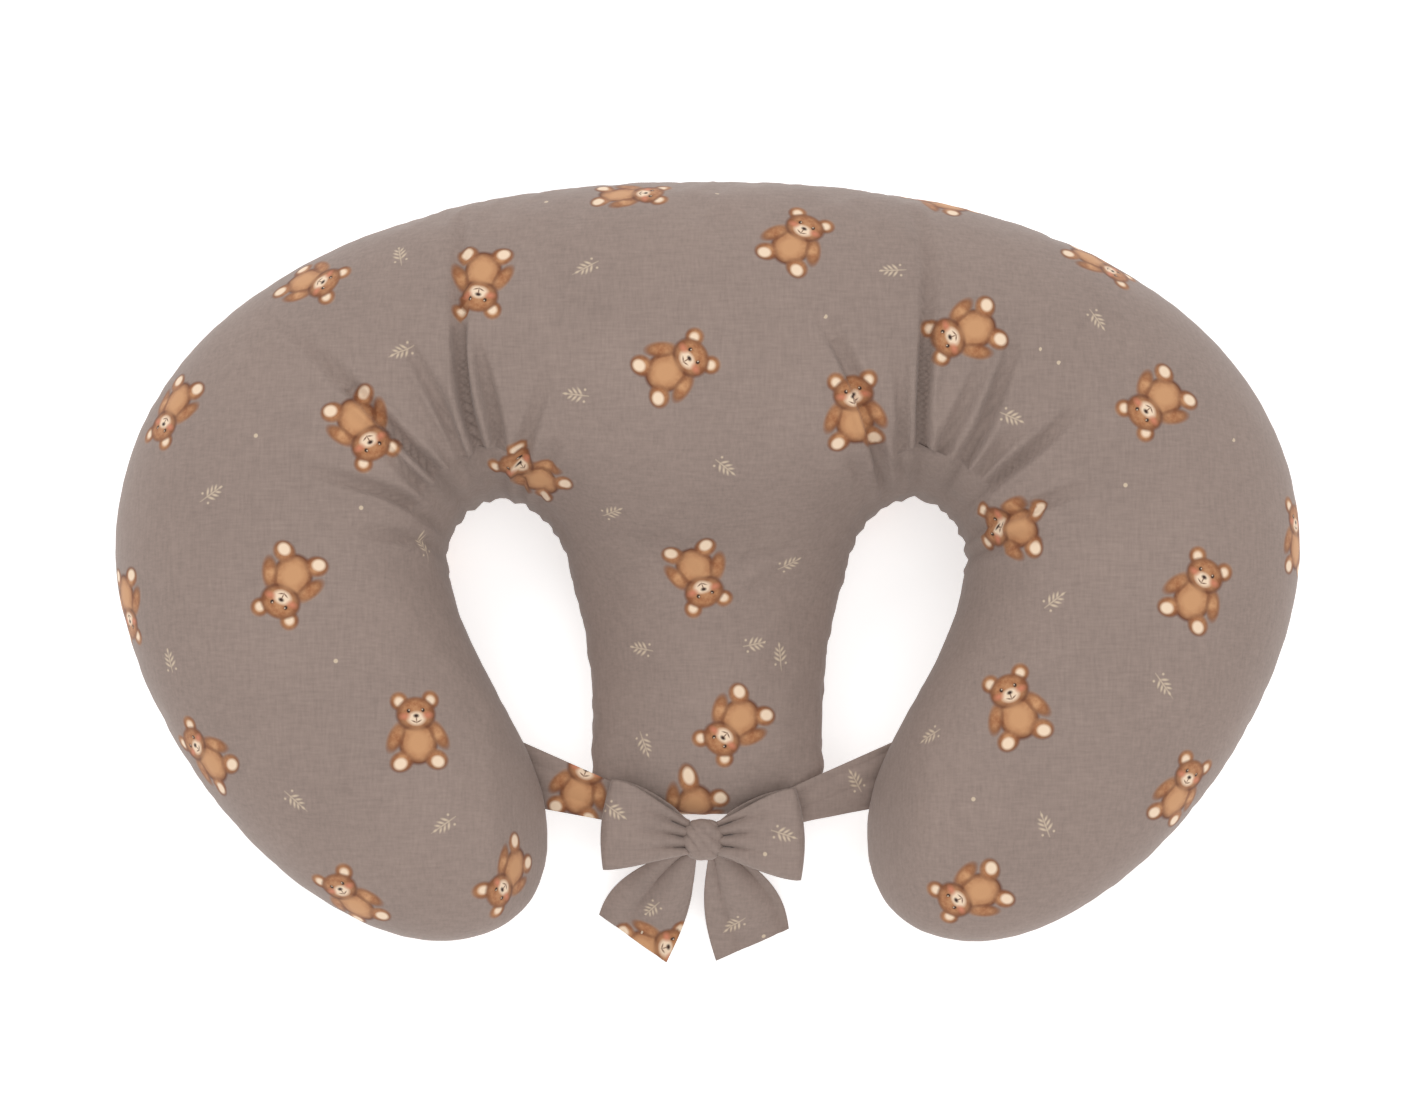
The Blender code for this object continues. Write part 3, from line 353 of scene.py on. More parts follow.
blown = film(plan, plan_faces, edge_count)
rise = np.sqrt(np.maximum(blown, 0) / (2 * (LOFT_WIDTH / 2) ** 2))
rise = rise / (1 + (rise / MOST_RISE) ** RISE_LIMIT_POWER) ** (1 / RISE_LIMIT_POWER)
tongue = (1 - smoothstep(np.abs(plan[:, 0]), *TONGUE_BLEND_X)) * (1 - smoothstep(plan[:, 1], *TONGUE_BLEND_Y))
loft = LOFT * (1 + (TONGUE_LOFT_SHARE - 1) * tongue) * rise
middle = MID_HEIGHT + (TONGUE_MID_HEIGHT - MID_HEIGHT) * tongue
low = middle - loft
low = (low + np.sqrt(low ** 2 + GROUND_SOFTNESS ** 2)) / 2
on_seam = slice(edge_count * SEAM_RING, edge_count * (SEAM_RING + 1))
low[on_seam] = (middle - loft)[on_seam]
top_points = np.column_stack([plan, middle + loft])
bottom_points = np.column_stack([plan, low])[edge_count:]
surface = np.concatenate([top_points, bottom_points])


def under(index):
    """The bottom's point below a plan point. On the outline the two are one point."""
    return np.where(index < edge_count, index, index + len(plan) - edge_count)


skirt_count = 2 * edge_count * SEAM_RING
bottom_faces = under(plan_faces[:, ::-1])
skirt_faces, base_faces = bottom_faces[:skirt_count], bottom_faces[skirt_count:]
all_faces = np.concatenate([plan_faces, bottom_faces])
cad_points = np.concatenate([joined("cover_top_panel")[0], joined("cover_bottom_panel")[0]])
smooth_tree = BVHTree.FromPolygons(surface.tolist(), all_faces.tolist())
gaps = [smooth_tree.find_nearest(Vector(point))[3] for point in cad_points]
print(f"CAD cover points lie {np.mean(gaps) * 1000:.2f} mm off the surface on average, {max(gaps) * 1000:.1f} at most")

# %% [markdown]
# ## Gathers
#
# Elastic in the seam draws the cloth together at the top of each leg opening. The spare cloth goes into creases
# that fan out over the cushion: narrow valleys, with a rounded ridge on each side, that widen and die away.
# Each crease is a curved line in the plan, and the surface moves along its own normal. The hem itself is
# scalloped. Everywhere else the cloth has only the lumps of its filling and small puckers at the seam.

# %% Set out the creases
CREASE_ORIGIN = np.array([0.104, 0.004])
LEFT_CREASES = (
    (-30, 0.045, 0.0016), (-12, 0.070, 0.0026), (4, 0.100, 0.0034), (14, 0.155, 0.0052), (24, 0.110, 0.0034),
    (33, 0.070, 0.0022), (41, 0.155, 0.0052), (53, 0.075, 0.0028), (66, 0.095, 0.0034), (84, 0.055, 0.0022),
)
RIGHT_CREASES = (
    (-34, 0.040, 0.0016), (-19, 0.125, 0.0044), (-6, 0.080, 0.0028), (7, 0.150, 0.0050), (18, 0.085, 0.0032),
    (31, 0.115, 0.0040), (43, 0.065, 0.0024), (52, 0.100, 0.0038), (70, 0.080, 0.0030), (88, 0.050, 0.0020),
)
CREASE_WIDTH, CREASE_SPREAD, RIDGE_SHARE = 0.0026, 0.016, 0.42
RIDGE_PLACE, RIDGE_WIDTH = 2.1, 1.2
CREASE_SWAY, SWAY_LENGTH, CREASE_BEND = 0.0022, 0.026, 0.9
STARTS_BEFORE, FULL_AFTER, FADES_FROM = 0.014, 0.003, 0.30
SCALLOP_PERIOD = 0.0088
SCALLOP_DEPTH = 0.0007
SCALLOP_DRIFT = 2.2
HEM_GROOVE = 0.0009
SOFT_FROM_HEM = 0.002
HEM_HOLD = 0.88

# %% Measure where each point lies
HOLE_TOP = np.array([0.1075, 0.0330])
ZIP_HALF_LENGTH = 0.125

plan_of = np.concatenate([np.arange(len(plan)), np.arange(edge_count, len(plan))])
is_under = np.arange(len(surface)) >= len(plan)
edge_distance, edge_point = distance_to(plan, outline)
edge_distance, edge_point = edge_distance[plan_of], edge_point[plan_of]
along_edge = edge_point * EDGE_SPACING
seam_number = under(edge_count * SEAM_RING + np.arange(edge_count))
from_hole = np.hypot(np.abs(surface[:, 0]) - HOLE_TOP[0], surface[:, 1] - HOLE_TOP[1])
near_hole = 1 - smoothstep(from_hole, 0.028, 0.055)
back_arc = (np.arange(edge_count) + edge_count // 2) % edge_count - edge_count // 2
back_arc = back_arc * EDGE_SPACING
at_zip = 1 - smoothstep(np.abs(back_arc), ZIP_HALF_LENGTH - 0.004, ZIP_HALF_LENGTH + 0.001)
below_edge = np.where(is_under, edge_distance, 0.0)
still = (1 - smoothstep(np.abs(back_arc), ZIP_HALF_LENGTH + 0.002, ZIP_HALF_LENGTH + 0.02))[edge_point]
still = still * (1 - smoothstep(np.abs(below_edge - SEAM_INSET), 0.004, 0.012)) * is_under


# %% Define one fan of creases
def rough(points, scale, seed):
    """Smooth noise from -1 to 1, with bumps about the given scale across."""
    shift = Vector((seed * 17.3, seed * 7.1, seed * 3.7))
    return np.array([noise.noise(Vector(p) / scale + shift) for p in points])


def crease_push(points, side, creases, width_at_hem, spread, ridge_share, from_hem):
    """How far each point moves out along its normal, for one leg opening's fan."""
    push = np.zeros(len(points))
    origin = CREASE_ORIGIN * (side, 1)
    from_origin = outline - origin
    for number, (angle, length, depth) in enumerate(creases):
        turn = math.radians(angle)
        way = np.array([side * math.sin(turn), math.cos(turn)])
        ahead = from_origin @ way
        beside = np.abs(from_origin[:, 0] * way[1] - from_origin[:, 1] * way[0])
        hem = ahead[(ahead > 0) & (beside < EDGE_SPACING)].min()
        offset = points[:, :2] - origin
        run = offset @ way - hem
        off = offset[:, 0] * way[1] - offset[:, 1] * way[0]
        off += CREASE_SWAY * np.sin(run / SWAY_LENGTH + 2.1 * number) * smoothstep(run, 0.0, 0.04)
        off += side * CREASE_BEND * (1 if number % 2 else -1) * np.maximum(run, 0) ** 2
        width = width_at_hem + spread * np.clip(run, 0, 1) ** 1.3
        strength = smoothstep(run, from_hem - STARTS_BEFORE, from_hem + FULL_AFTER)
        strength = strength * (1 - smoothstep(run, FADES_FROM * length, length))
        valley = np.exp(-((off / width) ** 2))
        ridge = np.exp(-(((np.abs(off) - RIDGE_PLACE * width) / (RIDGE_WIDTH * width)) ** 2))
        push += depth * strength * (ridge_share * ridge - valley)
    return push


def all_creases(points, width_at_hem, spread, ridge_share, from_hem):
    """Both fans. On the underside they fade away below the seam."""
    push = sum(
        crease_push(points, side, fan, width_at_hem, spread, ridge_share, from_hem) * (points[:, 0] * side > 0.03)
        for side, fan in ((-1, LEFT_CREASES), (1, RIGHT_CREASES))
    )
    return push * np.where(is_under, 1 - 0.8 * smoothstep(edge_distance, SEAM_INSET, 0.03), 1.0)


# %% Crease, scallop and pucker the surface
PUCKER_SIZE, PUCKER_DEPTH, TONGUE_PUCKER_DEPTH = 0.0075, 0.0003, 0.0012
LUMPS = ((0.0016, 0.055, 3), (0.0007, 0.022, 4))

upright = HEM_HOLD * near_hole * np.exp(-edge_distance / 0.012)


def steadied(out):
    """The directions to crease in: nearly upright next to a leg opening, so that the hem's line stays smooth."""
    return out * np.column_stack([1 - upright, 1 - upright, np.ones(len(out))])


creases = all_creases(surface, CREASE_WIDTH, CREASE_SPREAD, RIDGE_SHARE, SOFT_FROM_HEM) * (1 - still)
phase = 2 * math.pi * along_edge / SCALLOP_PERIOD
wander = rough(np.column_stack([along_edge, 0 * along_edge, 0 * along_edge]), 0.014, 1)
hem_fade = np.exp(-edge_distance / 0.011)
push = SCALLOP_DEPTH * near_hole * hem_fade * (np.sin(phase + SCALLOP_DRIFT * wander) - 0.3)
push -= HEM_GROOVE * near_hole * np.exp(-(((edge_distance - 0.0035) / 0.0016) ** 2)) * ~is_under
tongue_edge = (np.abs(surface[:, 0]) < 0.075) & (surface[:, 1] < 0.03)
pucker = rough(np.column_stack([along_edge, edge_distance / 3, is_under * 0.01]), PUCKER_SIZE, 2)
push += pucker * np.exp(-edge_distance / 0.016) * np.where(tongue_edge, TONGUE_PUCKER_DEPTH, PUCKER_DEPTH)
quiet_edge = 1 - 0.75 * np.exp(-edge_distance / 0.018) * (1 - near_hole)
push += sum(depth * rough(surface, size, seed) for depth, size, seed in LUMPS) * quiet_edge
push *= 1 - still
out = point_normals(surface, all_faces)
surface = surface + push[:, None] * out + creases[:, None] * steadied(out)
print(f"deepest crease {-creases.min() * 1000:.1f} mm, highest ridge {creases.max() * 1000:.1f} mm")

# %% [markdown]
# ## Letting the cloth settle
#
# The creased surface is then a cloth, blown up a little from inside with no gravity. It is given slightly more
# cloth than it has room for, so it buckles into small soft wrinkles of its own. The seam is pinned, and no
# point may move more than a few millimetres, so the piece stays in its place. The result is a plain mesh.

# %% Run the cloth
CLOTH_FRAMES = 14
CLOTH_SPARE = 0.018
CLOTH_PRESSURE = 3.0
CLOTH_CAP = 0.005


def settled(points, faces, pinned):
    """The points after a short cloth simulation with air pressure inside."""
    obj = make_object("settling", points, faces)
    group = obj.vertex_groups.new(name="pinned")
    group.add([int(i) for i in pinned], 1.0, "REPLACE")
    modifier = obj.modifiers.new("Cloth", "CLOTH")
    cloth = modifier.settings
    cloth.quality = 6
    cloth.mass = 0.2
    cloth.tension_stiffness = cloth.compression_stiffness = 12
    cloth.shear_stiffness = 6
    cloth.bending_stiffness = 0.4
    cloth.air_damping = 4
    cloth.use_pressure = True
    cloth.uniform_pressure_force = CLOTH_PRESSURE
    cloth.shrink_min = -CLOTH_SPARE
    cloth.vertex_group_mass = "pinned"
    cloth.effector_weights.gravity = 0
    modifier.collision_settings.use_collision = False
    modifier.point_cache.frame_end = CLOTH_FRAMES
    for number in range(1, CLOTH_FRAMES + 1):
        scene.frame_set(number)
    graph = bpy.context.evaluated_depsgraph_get()
    after = read(obj.evaluated_get(graph).to_mesh().vertices, "co", 3)
    obj.evaluated_get(graph).to_mesh_clear()
    scene.frame_set(1)
    bpy.data.objects.remove(obj)
    move = after - points
    out = point_normals(points, faces)
    swelling = np.median((move * out).sum(axis=1))
    print(f"taking off {swelling * 1000:.2f} mm of swelling all round")
    move -= out * swelling
    far = np.linalg.norm(move, axis=1)
    print(f"the cloth moved {far.mean() * 1000:.2f} mm on average, {far.max() * 1000:.1f} at most")
    return move * np.minimum(1, CLOTH_CAP / np.maximum(far, 1e-9))[:, None]


held_points = np.union1d(seam_number, np.flatnonzero(still > 0.3))
surface = surface + settled(surface, all_faces, held_points) * (quiet_edge * (1 - still))[:, None]

# %% [markdown]
# ## Sharp bottoms for the creases
#
# In real gathers the cloth folds over itself at the bottom of each crease, which shows as a thin dark line. The
# air pressure has opened the gathers a little, so each crease gets its sharp bottom last. The same fans are used
# again, narrower, so that the lines stay in the valleys.

# %% Sharpen the creases
SHARP_SHARE, SHARP_RIDGE = 0.56, 0.30
SHARP_WIDTH, SHARP_SPREAD, SHARP_FROM_HEM = 0.0021, 0.008, 0.007

sharp = SHARP_SHARE * all_creases(surface, SHARP_WIDTH, SHARP_SPREAD, SHARP_RIDGE, SHARP_FROM_HEM)
surface += sharp[:, None] * steadied(point_normals(surface, all_faces))
surface[:, 2] = np.maximum(surface[:, 2], 0.0)

# %% [markdown]
# ## The covers
#
# The top panel comes down over the side and meets the bottom panel at a seam. Each panel is a sheet half a
# millimetre thick, with its edge turned in at the seam. Along the back the seam opens for the zip.
#
# Inside are the two halves of a plain casing and the filling, each a little deeper than the last.

# %% Open the seam
SEAM_VALLEY = SEAM_WIDTH = 0.0012
SEAM_HALF_GAP = 0.00015
ZIP_WINDOW = 0.0088

normals = point_normals(surface, all_faces)
seam_away = edge_distance - SEAM_INSET
from_seam = np.abs(np.where(is_under, seam_away, SEAM_INSET + 0.02))
valley = SEAM_VALLEY * np.exp(-((from_seam / SEAM_WIDTH) ** 2)) * (1 - at_zip[edge_point])
surface = surface - normals * valley[:, None]
normals = point_normals(surface, all_faces)


def ring_under(ring):
    """The numbers of one ring's points on the underside."""
    return under(edge_count * ring + np.arange(edge_count))


def beside_seam(points, way, distance):
    """A point for each place on the seam, a distance from it along the surface: up if way is -1, down if 1."""
    stops = [points[ring_under(SEAM_RING + way * step)] for step in range(4)]
    left, found = distance.copy(), stops[0].copy()
    for here, after in zip(stops, stops[1:]):
        run = np.linalg.norm(after - here, axis=1)
        share = np.clip(left / run, 0, 1)[:, None]
        found = np.where((left > 0)[:, None], here + (after - here) * share, found)
        left = left - run
    return found


def opened(points, way, gap):
    """The points, with the seam's edge and the ring beside it drawn back along the surface by a gap."""
    first, second = (ring_under(SEAM_RING + way * step) for step in (1, 2))
    near = np.linalg.norm(points[first] - points[seam_number], axis=1)
    far = near + np.linalg.norm(points[second] - points[first], axis=1)
    moved = points.copy()
    moved[first] = beside_seam(points, way, np.maximum(near, (gap + far) / 2 * (gap > 0.001)))
    moved[seam_number] = beside_seam(points, way, gap)
    return moved


# %% Cut the two cover panels
COVER_THICKNESS = 0.0005


def sheet_mesh(name, outer, inner, faces):
    """A closed sheet from its two sides, joined along their edges."""
    used, index = np.unique(faces, return_inverse=True)
    faces = index.reshape(faces.shape)
    ends = edges_of(faces)
    key = ends[:, 0] * len(used) + ends[:, 1]
    rim = ends[~np.isin(key, ends[:, 1] * len(used) + ends[:, 0])]
    walls = np.concatenate([
        np.stack([rim[:, 1], rim[:, 0], rim[:, 0] + len(used)], 1),
        np.stack([rim[:, 1], rim[:, 0] + len(used), rim[:, 1] + len(used)], 1),
    ])
    return make_object(
        name, np.concatenate([outer[used], inner[used]]), np.concatenate([faces, faces[:, ::-1] + len(used), walls])
    )


closed_gap = np.full(edge_count, SEAM_HALF_GAP)
half_gap = closed_gap + (ZIP_WINDOW / 2 - SEAM_HALF_GAP) * at_zip
for_top, for_bottom = opened(surface, -1, half_gap), opened(surface, 1, half_gap)
top_faces = np.concatenate([plan_faces, skirt_faces])
cover_top = sheet_mesh("cover_top", for_top, for_top - normals * COVER_THICKNESS, top_faces)
cover_bottom = sheet_mesh("cover_bottom", for_bottom, for_bottom - normals * COVER_THICKNESS, base_faces)

# %% [markdown]
# ## The inner cushion
#
# The filling is packed into a plain casing of its own, so that the cover can be washed. It bridges the cover's
# creases instead of following them. So its surface is the cover's, evened out with its neighbours' places, and
# then lowered wherever it would stand proud of a crease's bottom. Behind the zip and the gathered hems it lies
# deeper, to leave room for the tape and the elastic.

# %% Smooth and lower the surface for the stuffing
CASING_DEPTH, CASING_THICKNESS, FILL_DEPTH = 0.0008, 0.0003, 0.0014
ZIP_POCKET, HEM_POCKET = 0.0042, 0.0020
ZIP_POCKET_EDGE, HEM_POCKET_EDGE = (0.006, 0.020), (0.010, 0.022)
STUFFING_SMOOTHNESS = 6

ends = edges_of(all_faces)


def averaged(values, rounds):
    """Each point's values, evened out with its neighbours' several times."""
    count = np.bincount(ends[:, 0], minlength=len(values))
    for _ in range(rounds):
        values = np.stack([np.bincount(ends[:, 0], column[ends[:, 1]], len(values)) for column in values.T], axis=1)
        values = values / count[:, None]
    return values


def widened(values, rounds):
    """Each point's value, or the largest among its neighbours'."""
    for _ in range(rounds):
        largest = values.copy()
        np.maximum.at(largest, ends[:, 0], values[ends[:, 1]])
        values = largest
    return values


from_zip = np.where(is_under, np.abs(seam_away), edge_distance + SEAM_INSET)
zip_pocket = at_zip[edge_point] * (1 - smoothstep(from_zip, *ZIP_POCKET_EDGE))
hem_pocket = near_hole * (1 - smoothstep(edge_distance, *HEM_POCKET_EDGE))
extra = ZIP_POCKET * zip_pocket + HEM_POCKET * hem_pocket * (1 - zip_pocket)
stuffed = averaged(surface, STUFFING_SMOOTHNESS)
stuffed_normals = point_normals(stuffed, all_faces)
proud = widened(np.maximum(((stuffed - surface) * stuffed_normals).sum(axis=1), 0), 3)
extra = averaged((extra + proud)[:, None], 2)[:, 0]


# %% Make the casing and the filling
def inner_layer(depth):
    """The filled inner cushion's surface. It bridges the cover's creases, and lies below their bottoms."""
    return stuffed - stuffed_normals * (depth + extra)[:, None]


casing_outer, casing_inner = inner_layer(CASING_DEPTH), inner_layer(CASING_DEPTH + CASING_THICKNESS)
casing_top, casing_bottom = (
    sheet_mesh(name, opened(casing_outer, way, closed_gap), opened(casing_inner, way, closed_gap), faces)
    for name, way, faces in (("casing_top", -1, top_faces), ("casing_bottom", 1, base_faces))
)
fill = make_object("filling", inner_layer(FILL_DEPTH), all_faces)
print([(piece.name, len(piece.data.polygons)) for piece in (cover_top, cover_bottom, casing_top, casing_bottom, fill)])

# %% [markdown]
# ## The tie and its bow
#
# Each end of the tie is a folded band of the cover's own cloth, sewn into the seam inside an arm. The two ends
# cross the front of the tongue and are tied in a bow. Such narrow pieces are ribbons: a grid of points along
# and across the band, given pleats, then a thickness. The pleats are deepest beside the knot, which pinches
# the band, and spread out and fade away from it.

# %% Helpers for ribbons
TIE_THICKNESS = 0.0009
TIE_CLEARANCE = 0.0010
KNOT_CENTRE = np.array(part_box("bow_knot")[0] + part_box("bow_knot")[1]) / 2
KNOT_HALF = np.array(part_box("bow_knot")[1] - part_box("bow_knot")[0]) / 2
TONGUE_HALF_WIDTH = 0.0613

pillow_tree = BVHTree.FromPolygons(surface.tolist(), all_faces.tolist())


def draped(x, y, reach=0.005):
    """The highest point of the tongue near a place, or 0 beside the tongue."""
    tallest = 0.0
    for dx in (-reach, 0.0, reach):
        for dy in (-reach, 0.0, reach):
            if abs(x + dx) < TONGUE_HALF_WIDTH:
                hit = pillow_tree.ray_cast(Vector((x + dx, y + dy, 0.3)), Vector((0, 0, -1)))[0]
                tallest = max(tallest, hit.z if hit else 0.0)
    return tallest


def grid_normals(grid):
    """Unit normals at the points of a grid."""
    along, across = np.gradient(grid, axis=0), np.gradient(grid, axis=1)
    normals = np.cross(along, across)
    return normals / np.maximum(np.linalg.norm(normals, axis=2), 1e-12)[:, :, None]


def ribbon(name, grid, thickness, rounding=0.35):
    """A closed ribbon round a grid of points. Its long edges are thinner, as a pressed fold is."""
    rows, columns = grid.shape[:2]
    share = np.linspace(-1, 1, columns)
    half = thickness / 2 * (1 - rounding * np.abs(share) ** 12)[None, :, None]
    normals = grid_normals(grid)
    points = np.concatenate([(grid + normals * half).reshape(-1, 3), (grid - normals * half).reshape(-1, 3)])
    number = np.arange(rows * columns).reshape(rows, columns)
    a, b, c, d = number[:-1, :-1], number[1:, :-1], number[1:, 1:], number[:-1, 1:]
    upper = np.stack([a, b, c, d], axis=2).reshape(-1, 4)
    under_side = upper[:, ::-1] + rows * columns
    loop = np.concatenate([number[:, 0], number[-1, 1:], number[-2::-1, -1], number[0, -2:0:-1]])
    after = np.roll(loop, -1)
    rim = np.stack([after, loop, loop + rows * columns, after + rows * columns], axis=1)
    return faced_outwards(make_object(name, points, np.concatenate([upper, under_side, rim])))


def pleats(share, count, phase=0.0):
    """Rounded ridges with sharp valleys between them, from -1 to 0.6, across a ribbon."""
    wave = np.abs(np.sin(math.pi * count * share + phase))
    return 1.6 * wave ** 0.7 - 1.0


# %% [markdown]
# ### The bands
#
# A real band is a flat tube of cloth, turned right side out, pressed, and sewn in at one end. It crosses three
# places: the seam, the tongue's corner that it bends over, and the knot. Each column of the grid joins these
# places, smoothed at the bend. Points that would sink into the tongue are then lifted onto it, which is quicker
# and steadier than simulating cloth on cloth.

# %% Lay the two bands
BAND_ROWS, BAND_COLUMNS = 70, 36
SEWN_BACK_Y, SEWN_FRONT_Y = -0.085, -0.124
CORNER_BACK, CORNER_FRONT = (0.0520, -0.1110), (0.0530, -0.1320)
KNOT_BAND_WIDTH = 0.0120
KNOT_BAND_DROP = 0.0042
KNOT_TUCK, SEWN_INTO_SEAM = 0.0016, 0.0012
BEND_SMOOTHING = 15
BAND_PLEATS, BAND_PLEAT_DEPTH, KNOT_PLEAT_DEPTH, BAND_BULGE = 2.5, 0.0006, 0.0020, 0.0022

seam_line = surface[seam_number]
arm_seam = seam_line[(np.abs(seam_line[:, 0] - 0.0975) < 0.0175) & (np.abs(seam_line[:, 1] + 0.105) < 0.045)]
arm_seam = arm_seam[np.argsort(arm_seam[:, 1])]


def band(side, name, seed):
    """One end of the tie, from the arm's seam over the tongue's corner to the knot."""
    grid = np.zeros((BAND_ROWS, BAND_COLUMNS, 3))
    shares = np.linspace(0, 1, BAND_COLUMNS)
    for column, share in enumerate(shares):
        y = SEWN_BACK_Y + (SEWN_FRONT_Y - SEWN_BACK_Y) * share
        seam_x, seam_z = (np.interp(y, arm_seam[:, 1], arm_seam[:, k]) for k in (0, 2))
        sewn = np.array([side * (seam_x + SEWN_INTO_SEAM), y, seam_z])
        corner = np.array([
            side * (CORNER_BACK[0] + (CORNER_FRONT[0] - CORNER_BACK[0]) * share),
            CORNER_BACK[1] + (CORNER_FRONT[1] - CORNER_BACK[1]) * share, 0.0,
        ])
        corner[2] = max(draped(corner[0], corner[1]), KNOT_CENTRE[2]) + TIE_CLEARANCE
        end = np.array([
            KNOT_CENTRE[0] + side * (KNOT_HALF[0] - KNOT_TUCK), KNOT_CENTRE[1] + KNOT_BAND_WIDTH * (0.75 - share),
            KNOT_CENTRE[2] - KNOT_BAND_DROP,
        ])
        first = BAND_ROWS // 2
        t = np.linspace(0, 1, first)[:, None]
        grid[:first, column] = sewn + (corner - sewn) * t
        t = np.linspace(0, 1, BAND_ROWS - first + 1)[1:, None]
        grid[first:, column] = corner + (end - corner) * t
    kernel = np.hanning(BEND_SMOOTHING)[:, None, None]
    margin = BEND_SMOOTHING // 2
    padded_rows = np.concatenate([grid[:1].repeat(margin, 0), grid, grid[-1:].repeat(margin, 0)])
    smooth = sum(padded_rows[k:k + BAND_ROWS] * kernel[k] for k in range(BEND_SMOOTHING)) / kernel.sum()
    from_end = np.minimum(np.arange(BAND_ROWS), np.arange(BAND_ROWS)[::-1])[:, None, None]
    grid = grid + (smooth - grid) * np.clip(from_end / margin, 0, 1)
    along = np.linspace(0, 1, BAND_ROWS)[:, None]
    folds = pleats(shares[None, :] + 0.05 * np.sin(5 * along + seed), BAND_PLEATS, seed)
    depth = BAND_PLEAT_DEPTH + (KNOT_PLEAT_DEPTH - BAND_PLEAT_DEPTH) * smoothstep(along, 0.45, 1.0)
    grid[:, :, 2] += depth * folds + BAND_BULGE * np.sin(math.pi * shares)[None, :] * np.sin(math.pi * along) ** 0.5
    for row in range(1, BAND_ROWS - 1):
        for column in range(BAND_COLUMNS):
            x, y, z = grid[row, column]
            over = draped(x, y, 0.002)
            grid[row, column, 2] = max(z, over + TIE_CLEARANCE + TIE_THICKNESS / 2 if over else z)
    return ribbon(name, grid, TIE_THICKNESS)


band_left, band_right = band(-1, "band_left", 0.4), band(1, "band_right", 1.7)

# %% [markdown]
# ### The knot
#
# A real knot is the band wrapped once round itself and pulled tight, so only its wraps show. Tying one in a
# simulation would take longer than all the rest of this script. A squarish barrel with slanting grooves shows
# the same wraps.

# %% Tie the knot
KNOT_ROUNDS, KNOT_TURNS = 48, 72
KNOT_SQUARENESS = 0.72
WRAP_COUNT = 3.0
WRAP_DEPTH = 0.0019
KNOT_FULLNESS = np.array([1.13, 1.02, 1.04])


def knot():
    """A squarish barrel, with the grooves of the cloth wrapped slantwise round it."""
    lift = np.linspace(0, math.pi, KNOT_ROUNDS)[1:-1, None]
    angle = np.linspace(0, 2 * math.pi, KNOT_TURNS, endpoint=False)[None, :]
    width = np.sin(lift) ** KNOT_SQUARENESS
    x = width * np.sign(np.cos(angle)) * np.abs(np.cos(angle)) ** KNOT_SQUARENESS
    z = width * np.sign(np.sin(angle)) * np.abs(np.sin(angle)) ** KNOT_SQUARENESS
    y = -np.cos(lift) * np.ones_like(angle)
    slant = 0.9 * x + 1.25 * y + 0.35 * np.sin(2.2 * x + 0.6)
    groove = 1 - np.abs(np.sin(math.pi * WRAP_COUNT * slant / 2.6)) ** 0.55
    size = 1 - (WRAP_DEPTH / KNOT_HALF[0]) * groove * width
    grid = np.stack([x * size, y * (1 - 0.03 * groove), z * size], axis=2) * KNOT_HALF * KNOT_FULLNESS + KNOT_CENTRE
    rows = KNOT_ROUNDS - 2
    poles = [KNOT_CENTRE - KNOT_HALF * (0, 1, 0), KNOT_CENTRE + KNOT_HALF * (0, 1, 0)]
    number = np.arange(rows * KNOT_TURNS).reshape(rows, KNOT_TURNS)
    turned = np.roll(number, -1, axis=1)
    faces = np.stack([number[:-1], number[1:], turned[1:], turned[:-1]], axis=2).reshape(-1, 4).tolist()
    first, last = rows * KNOT_TURNS, rows * KNOT_TURNS + 1
    faces += [(first, a, b) for a, b in zip(number[0], turned[0])]
    faces += [(last, b, a) for a, b in zip(number[-1], turned[-1])]
    return faced_outwards(make_object("knot", np.concatenate([grid.reshape(-1, 3), poles]), faces))


knot_piece = knot()

# %% [markdown]
# ### The loops
#
# A loop is the band doubled back on itself. Its two layers are pinched together at the knot and stand apart
# towards the fold, more in the middle than at the edges. One grid runs out, round the fold and back, so the loop
# is a single ribbon and its fold stays rounded.

# %% Fold the loops
LOOP_STEPS, LOOP_COLUMNS = 40, 44
LOOP_FOLD_STEPS = 14
LOOP_TUCK, LOOP_PINCH, LOOP_BOW_OUT = 0.0030, 0.0122, 0.0030
LOOP_PLEATS, LOOP_PLEAT_DEPTH, LOOP_PLEAT_END = 3.6, 0.0030, 0.0007
LOOP_ROOT_OPENING = 0.0016
LOOP_OPENING = 0.0105
LOOP_FULLEST = 0.62
LOOP_FOLD_SHARE = 0.42
LOOP_RISE = 0.0040
LOOP_TILT = 1.5


